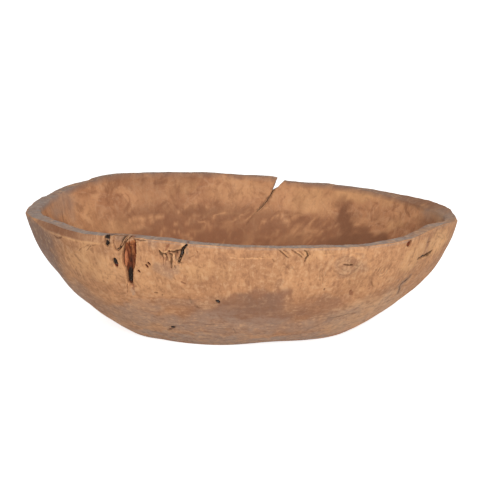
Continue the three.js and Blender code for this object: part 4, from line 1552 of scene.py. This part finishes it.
def fine_copy(node, name, cell, wall):
    """An even, finely meshed copy of a node's solid, with its places in the wall's frame and its facing."""
    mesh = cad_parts[node].data.copy()
    mesh.materials.clear()
    rework(mesh, lambda shape: weld(shape, SOLID_WELD * MM))
    piece = new_piece(name, mesh)
    even = piece.modifiers.new("even skin", "REMESH")
    even.mode = "VOXEL"
    even.voxel_size = cell * MM
    plain_mesh(piece)
    facing = smooth(normals_of(piece.data) @ wall.axes[2], 0.2, 0.7)
    return piece, wall.local(places_of(piece.data)), facing


def seated_inserts():
    finishes = {slot: old_bark(slot) for slot in ("ingrown_bark", "bark_slip", "pitch")}
    for name, (node, slot, pocket, shaping) in INSERTS.items():
        wall = WallFrame(*POCKETS[pocket][:2])
        piece, local, facing = fine_copy(node, name, INSERT_CELL, wall)
        if pocket in SEAM_PATHS:
            local = crumbled(local, *SEAM_PATHS[pocket])
        lift, tone = shaping(local[:, 0], local[:, 1])
        paint_colour(piece.data, "tone", tone)
        paint_vector(piece.data, "grain", local)
        local[:, 2] += lift * facing
        local[:, :2] += drift_of(pocket)
        move_vertices(piece.data, wall.origin + local @ wall.axes)
        seat(piece, node, slot, finishes[slot])


def dead_knot():
    """The knot is the burr's own wood, greyed a little at the rim, with a broken dark arm."""
    wall = WallFrame(*POCKETS["rim_knot"][:2])
    piece, local, facing = fine_copy("rim_knot", "dead_knot", KNOT_CELL, wall)
    points = places_of(piece.data)
    ridges = fibrous(local[:, 0], local[:, 1], 2.2, 191)
    move_vertices(piece.data, points + (0.25 * ridges * facing)[:, None] * wall.axes[2])
    bearing = np.degrees(np.arctan2(points[:, 1], points[:, 0])) % 360
    below = rim_top(bearing)[:, 2] - points[:, 2]
    tint = {name: np.zeros(len(points)) for name in TINTS}
    tint["grey"] = 0.35 * bell(below, 2.5)
    tint["upright"] += 1
    tint["dark"] = 0.25 * smooth(ridges, 0.2, 0.9)
    tint["bark"] = 0.95 * knot_char(local[:, 0], local[:, 1])
    for name, values in tint.items():
        paint(piece.data, name, values)
    paint_vector(piece.data, "grain", local)
    seat(piece, "rim_knot", "knot_wood", burr_wood("knot_wood"))


# Finishes

class Finish:
    """A material in the making: each call adds one node or a few and gives their output."""

    def __init__(self, name):
        self.material = bpy.data.materials.new(name)
        self.material.use_nodes = True
        self.nodes = self.material.node_tree.nodes
        self.links = self.material.node_tree.links
        self.shader = self.nodes["Principled BSDF"]

    def plug(self, socket, value):
        if isinstance(value, bpy.types.NodeSocket):
            self.links.new(value, socket)
        else:
            socket.default_value = value

    def node(self, kind, output, inputs, **settings):
        node = self.nodes.new("ShaderNode" + kind)
        for name, value in settings.items():
            setattr(node, name, value)
        for name, value in inputs.items():
            self.plug(node.inputs[name], value)
        return node.outputs[output]

    def place(self):
        """Object coordinates in millimetres."""
        return self.scaled(self.node("TexCoord", "Object", {}), (1 / MM,) * 3)

    def scaled(self, vector, factors):
        return self.node("VectorMath", 0, {0: vector, 1: factors}, operation="MULTIPLY")

    def shifted(self, vector, offset):
        return self.node("VectorMath", 0, {0: vector, 1: offset}, operation="ADD")

    def layer(self, name, output="Fac"):
        return self.node("Attribute", output, {}, attribute_name=name)

    def noise(self, vector, size, detail, rough, twist=0.0, output="Fac"):
        lumps = {"Scale": 1 / size, "Detail": detail, "Roughness": rough, "Distortion": twist}
        return self.node("TexNoise", output, {"Vector": vector, **lumps})

    def drift(self, vector, size, reach):
        """An offset that wanders by up to half the reach each way."""
        wander = self.shifted(self.noise(vector, size, 2, 0.5, output="Color"), (-0.5, -0.5, -0.5))
        return self.scaled(wander, (reach,) * 3)

    def step(self, value, low, high, bottom=0.0, top=1.0):
        inputs = {"Value": value, "From Min": low, "From Max": high, "To Min": bottom, "To Max": top}
        return self.node("MapRange", "Result", inputs, interpolation_type="SMOOTHSTEP")

    def math(self, operation, a, b=0.0):
        return self.node("Math", 0, {0: a, 1: b}, operation=operation)

    def times(self, a, b):
        return self.math("MULTIPLY", a, b)

    def plus(self, a, b):
        return self.math("ADD", a, b)

    def blend(self, factor, under, over, mode="MIX"):
        node = self.nodes.new("ShaderNodeMix")
        node.data_type = "RGBA"
        node.blend_type = mode
        self.plug(node.inputs["Factor"], factor)
        for name, value in (("A", under), ("B", over)):
            socket = next(s for s in node.inputs if s.name == name and s.type == "RGBA")
            self.plug(socket, (*value, 1) if isinstance(value, tuple) else value)
        return next(s for s in node.outputs if s.type == "RGBA")

    def bump(self, height, strength, reach):
        return self.node("Bump", "Normal", {"Strength": strength, "Distance": reach * MM, "Height": height})

    def finished(self, colour, rough, normal):
        self.links.new(colour, self.shader.inputs["Base Color"])
        self.plug(self.shader.inputs["Roughness"], rough)
        self.links.new(normal, self.shader.inputs["Normal"])
        return self.material


WOOD = {
    "brown burr": (0.43, 0.206, 0.098),
    "light burr": (0.61, 0.306, 0.145),
    "dark swirl": (0.37, 0.176, 0.088),
    "pale swirl": (0.68, 0.39, 0.205),
    "brown inside": (0.42, 0.186, 0.088),
    "light inside": (0.61, 0.302, 0.146),
    "vein inside": (0.66, 0.38, 0.22),
    "painted low shade inside": (0.34, 0.13, 0.056),
    "smoke inside": (0.29, 0.12, 0.056),
    "pale inside": (0.67, 0.36, 0.18),
    "dark inside": (0.23, 0.096, 0.046),
    "heart": (0.27, 0.125, 0.074),
    "pale": (0.77, 0.42, 0.195),
    "dark": (0.235, 0.128, 0.083),
    "ash": (0.41, 0.282, 0.208),
    "grey": (0.312, 0.24, 0.204),
    "dark grain": (0.26, 0.12, 0.062),
    "pale grain": (0.74, 0.45, 0.25),
    "rust": (0.20, 0.052, 0.022),
    "bark": (0.034, 0.021, 0.014),
}
WOOD_GLOSS = 0.25
CHARRED_GLOSS = 0.02
BARK_GLOSS = 0.06


def outer_figure(wood, place):
    broad = wood.noise(place, 38, 3, 0.55, 0.6)
    swirl = wood.noise(place, 13, 4, 0.6, 1.6)
    tone = wood.blend(wood.step(broad, 0.3, 0.7), WOOD["brown burr"], WOOD["light burr"])
    tone = wood.blend(wood.step(swirl, 0.4, 0.75, 0, 0.6), tone, WOOD["dark swirl"])
    return wood.blend(wood.step(swirl, 0.2, 0.42, 0.4, 0), tone, WOOD["pale swirl"])


def inner_figure(wood, place):
    cloudy = wood.noise(place, 34, 4, 0.5, 0.7)
    smoky = wood.noise(place, 19, 5, 0.6, 1.4)
    vein = wood.math("ABSOLUTE", wood.math("SUBTRACT", wood.noise(place, 24, 3, 0.5, 0.9), 0.5))
    tone = wood.blend(wood.step(cloudy, 0.32, 0.68), WOOD["brown inside"], WOOD["light inside"])
    tone = wood.blend(wood.step(vein, 0.0, 0.035, 0.3, 0), tone, WOOD["vein inside"])
    # Painted shade darkens the lower inside
    tone = wood.blend(wood.times(wood.layer("deep"), 0.9), tone, WOOD["painted low shade inside"])
    tone = wood.blend(wood.step(smoky, 0.46, 0.68, 0, 0.75), tone, WOOD["smoke inside"])
    return wood.blend(wood.step(smoky, 0.3, 0.46, 0.4, 0), tone, WOOD["pale inside"])


def grain_lines(wood, place, blotch, fleck):
    """Lines up the upper wall and along the lower one, with spots and specks: dark above 0, pale below it."""
    bent = wood.shifted(wood.layer("grain", "Vector"), wood.drift(place, 16, 10))
    hatch = wood.noise(wood.scaled(bent, (1.0, 0.11, 1.0)), 3.0, 4, 0.65)
    rings = wood.noise(wood.scaled(bent, (0.05, 1.0, 1.0)), 3.0, 4, 0.65)
    upright = wood.layer("upright")
    level = wood.math("SUBTRACT", 1.0, upright)
    line = wood.times(wood.step(hatch, 0.32, 0.68, -0.5, 0.5), upright)
    ring = wood.times(wood.step(rings, 0.32, 0.68, -0.5, 0.5), level)
    speck = wood.step(fleck, 0.3, 0.7, -0.35, 0.35)
    spot = wood.step(blotch, 0.3, 0.7, -0.45, 0.45)
    return wood.plus(wood.plus(line, ring), wood.plus(speck, spot))


def burr_wood(name):
    """The burr's figure, then the painted tints, the grain, and rust and bark over all."""
    wood = Finish(name)
    place = wood.place()
    blotch = wood.noise(place, 6, 4, 0.62, 0.5)
    fleck = wood.noise(place, 3, 4, 0.7, 0.3)
    inner = wood.layer("inside")
    colour = wood.blend(inner, outer_figure(wood, place), inner_figure(wood, place))

    shade = wood.blend(inner, WOOD["dark"], WOOD["dark inside"])
    tints = (("heart", 0.75, WOOD["heart"]), ("pale", 0.6, WOOD["pale"]), ("dark", 0.85, shade))
    for tint, strength, tone in tints:
        colour = wood.blend(wood.times(wood.layer(tint), strength), colour, tone)
    ash = wood.times(wood.layer("ash"), wood.step(blotch, 0.3, 0.65, 0.7, 1))
    colour = wood.blend(ash, colour, WOOD["ash"])
    grey = wood.times(wood.layer("grey"), wood.step(fleck, 0.2, 0.6, 0.75, 1))
    colour = wood.blend(grey, colour, WOOD["grey"])

    grainy = grain_lines(wood, place, blotch, fleck)
    mellow = wood.step(inner, 0, 1, 1, 0.5)
    sapwood = wood.times(mellow, wood.step(wood.layer("heart"), 0, 1, 1, 0.3))
    sapwood = wood.times(sapwood, wood.step(wood.plus(wood.layer("deep"), inner), 0, 1.5, 1, 0.1))
    darker = wood.times(wood.step(grainy, 0.0, 0.9, 0, 0.52), mellow)
    paler = wood.times(wood.step(grainy, -0.9, 0.0, 0.4, 0), sapwood)
    colour = wood.blend(darker, colour, WOOD["dark grain"])
    colour = wood.blend(paler, colour, WOOD["pale grain"])

    colour = wood.blend(wood.layer("rust"), colour, WOOD["rust"])
    bark = wood.times(wood.layer("bark"), wood.step(fleck, 0.28, 0.55, 1, 0.72))
    colour = wood.blend(bark, colour, WOOD["bark"])

    height = wood.plus(wood.times(grainy, -0.6), fleck)
    rough = wood.step(fleck, 0.2, 0.8, 0.62, 0.8)
    gloss = wood.shader.inputs["Specular IOR Level"]
    gloss.default_value = WOOD_GLOSS
    wood.links.new(wood.step(bark, 0, 0.8, WOOD_GLOSS, CHARRED_GLOSS), gloss)
    return wood.finished(colour, rough, wood.bump(height, 0.35, 0.35))


def old_bark(name):
    """Bark and pitch: the painted tone with short streaks up the wall."""
    bark = Finish(name)
    streak = bark.noise(bark.scaled(bark.layer("grain", "Vector"), (1.0, 0.2, 1.0)), 0.9, 3, 0.6)
    colour = bark.blend(bark.step(streak, 0.5, 0.75, 0, 0.6), bark.layer("tone", "Color"), STREAK_BLACK)
    colour = bark.blend(bark.step(streak, 0.25, 0.45, 0.3, 0), colour, STREAK_TAN, "OVERLAY")
    bark.shader.inputs["Specular IOR Level"].default_value = BARK_GLOSS
    return bark.finished(colour, 0.75, bark.bump(streak, 0.5, 0.4))


# Stage: floor, light and camera

CAMERA_AIM = (-1.5, 0, 85.3)
CAMERA_DISTANCE = 1333.3
CAMERA_HEIGHT_ANGLE = 13
CAMERA_LENS = 100
CAMERA_FAR = 100
FLOOR_HALF = 20000
FLOOR_LEVEL = -0.3
FLOOR_LIT = (0.8, 0.78, 0.76)
FLOOR_SEEN = (0.9, 0.9, 0.9)
FLOOR_GLOW = 0.8
WORLD_LIGHT = 0.38
WHITE = (1, 1, 1, 1)


def pale_floor():
    """A pale floor that lights the bowl like grey paper, and that the camera sees as white."""
    corners = np.array([[-1, -1, 0], [1, -1, 0], [1, 1, 0], [-1, 1, 0]]) * FLOOR_HALF
    corners = corners + np.array([0, 0, FLOOR_LEVEL])
    floor = new_piece("pale_floor", mesh_of("pale_floor", corners, [(0, 1, 2, 3)]))
    paper = Finish("pale_floor")
    sockets = paper.shader.inputs
    seen = seen_directly(paper.nodes, paper.links)
    sockets["Roughness"].default_value = 0.9
    sockets["Specular IOR Level"].default_value = 0.1
    sockets["Emission Color"].default_value = WHITE
    paper.plug(sockets["Base Color"], paper.blend(seen, FLOOR_LIT, FLOOR_SEEN))
    paper.plug(sockets["Emission Strength"], paper.times(seen, FLOOR_GLOW))
    floor.data.materials.append(paper.material)
    floor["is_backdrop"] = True


def seen_directly(nodes, links):
    """1 for what the camera sees, also in gloss and through glass, and 0 for scattered light."""
    path = nodes.new("ShaderNodeLightPath")
    total = path.outputs["Is Camera Ray"]
    for name in ("Is Glossy Ray", "Is Transmission Ray"):
        most = nodes.new("ShaderNodeMath")
        most.operation = "MAXIMUM"
        links.new(total, most.inputs[0])
        links.new(path.outputs[name], most.inputs[1])
        total = most.outputs[0]
    return total


def studio_world():
    world = bpy.data.worlds.new("studio")
    bpy.context.scene.world = world
    world.use_nodes = True
    nodes = world.node_tree.nodes
    links = world.node_tree.links
    sky = nodes["Background"]
    level = nodes.new("ShaderNodeMapRange")
    level.inputs["To Min"].default_value = WORLD_LIGHT
    level.inputs["To Max"].default_value = 1
    links.new(seen_directly(nodes, links), level.inputs["Value"])
    sky.inputs["Color"].default_value = WHITE
    links.new(level.outputs["Result"], sky.inputs["Strength"])


def soft_light(name, place, aim, size, power):
    lamp = bpy.data.lights.new(name, "AREA")
    lamp.shape = "SQUARE"
    lamp.size = size
    lamp.energy = power
    piece = new_piece(name, lamp)
    aim_at(piece, place, aim)


def aim_at(piece, place, aim):
    piece.location = place
    piece.rotation_euler = (Vector(aim) - Vector(place)).to_track_quat("-Z", "Y").to_euler()


def photo_camera():
    data = bpy.data.cameras.new("photo_camera")
    data.lens = CAMERA_LENS
    data.clip_end = CAMERA_FAR
    camera = new_piece("photo_camera", data)
    tilt = np.radians(CAMERA_HEIGHT_ANGLE)
    aim = np.array(CAMERA_AIM, float)
    eye = aim + CAMERA_DISTANCE * np.array([0, -np.cos(tilt), np.sin(tilt)])
    aim_at(camera, eye * MM, aim * MM)
    bpy.context.scene.camera = camera


hewn_bowl()
dead_knot()
seated_inserts()
pale_floor()
studio_world()
soft_light("front_softbox", place=(0.35, -2.2, 1.1), aim=(0, 0, 0.08), size=1.4, power=45)
photo_camera()
bpy.context.scene.view_settings.view_transform = "Standard"

boxes = {"cad": cad_box, "visual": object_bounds()}
{name: [list(corner) for corner in box] for name, box in boxes.items()}
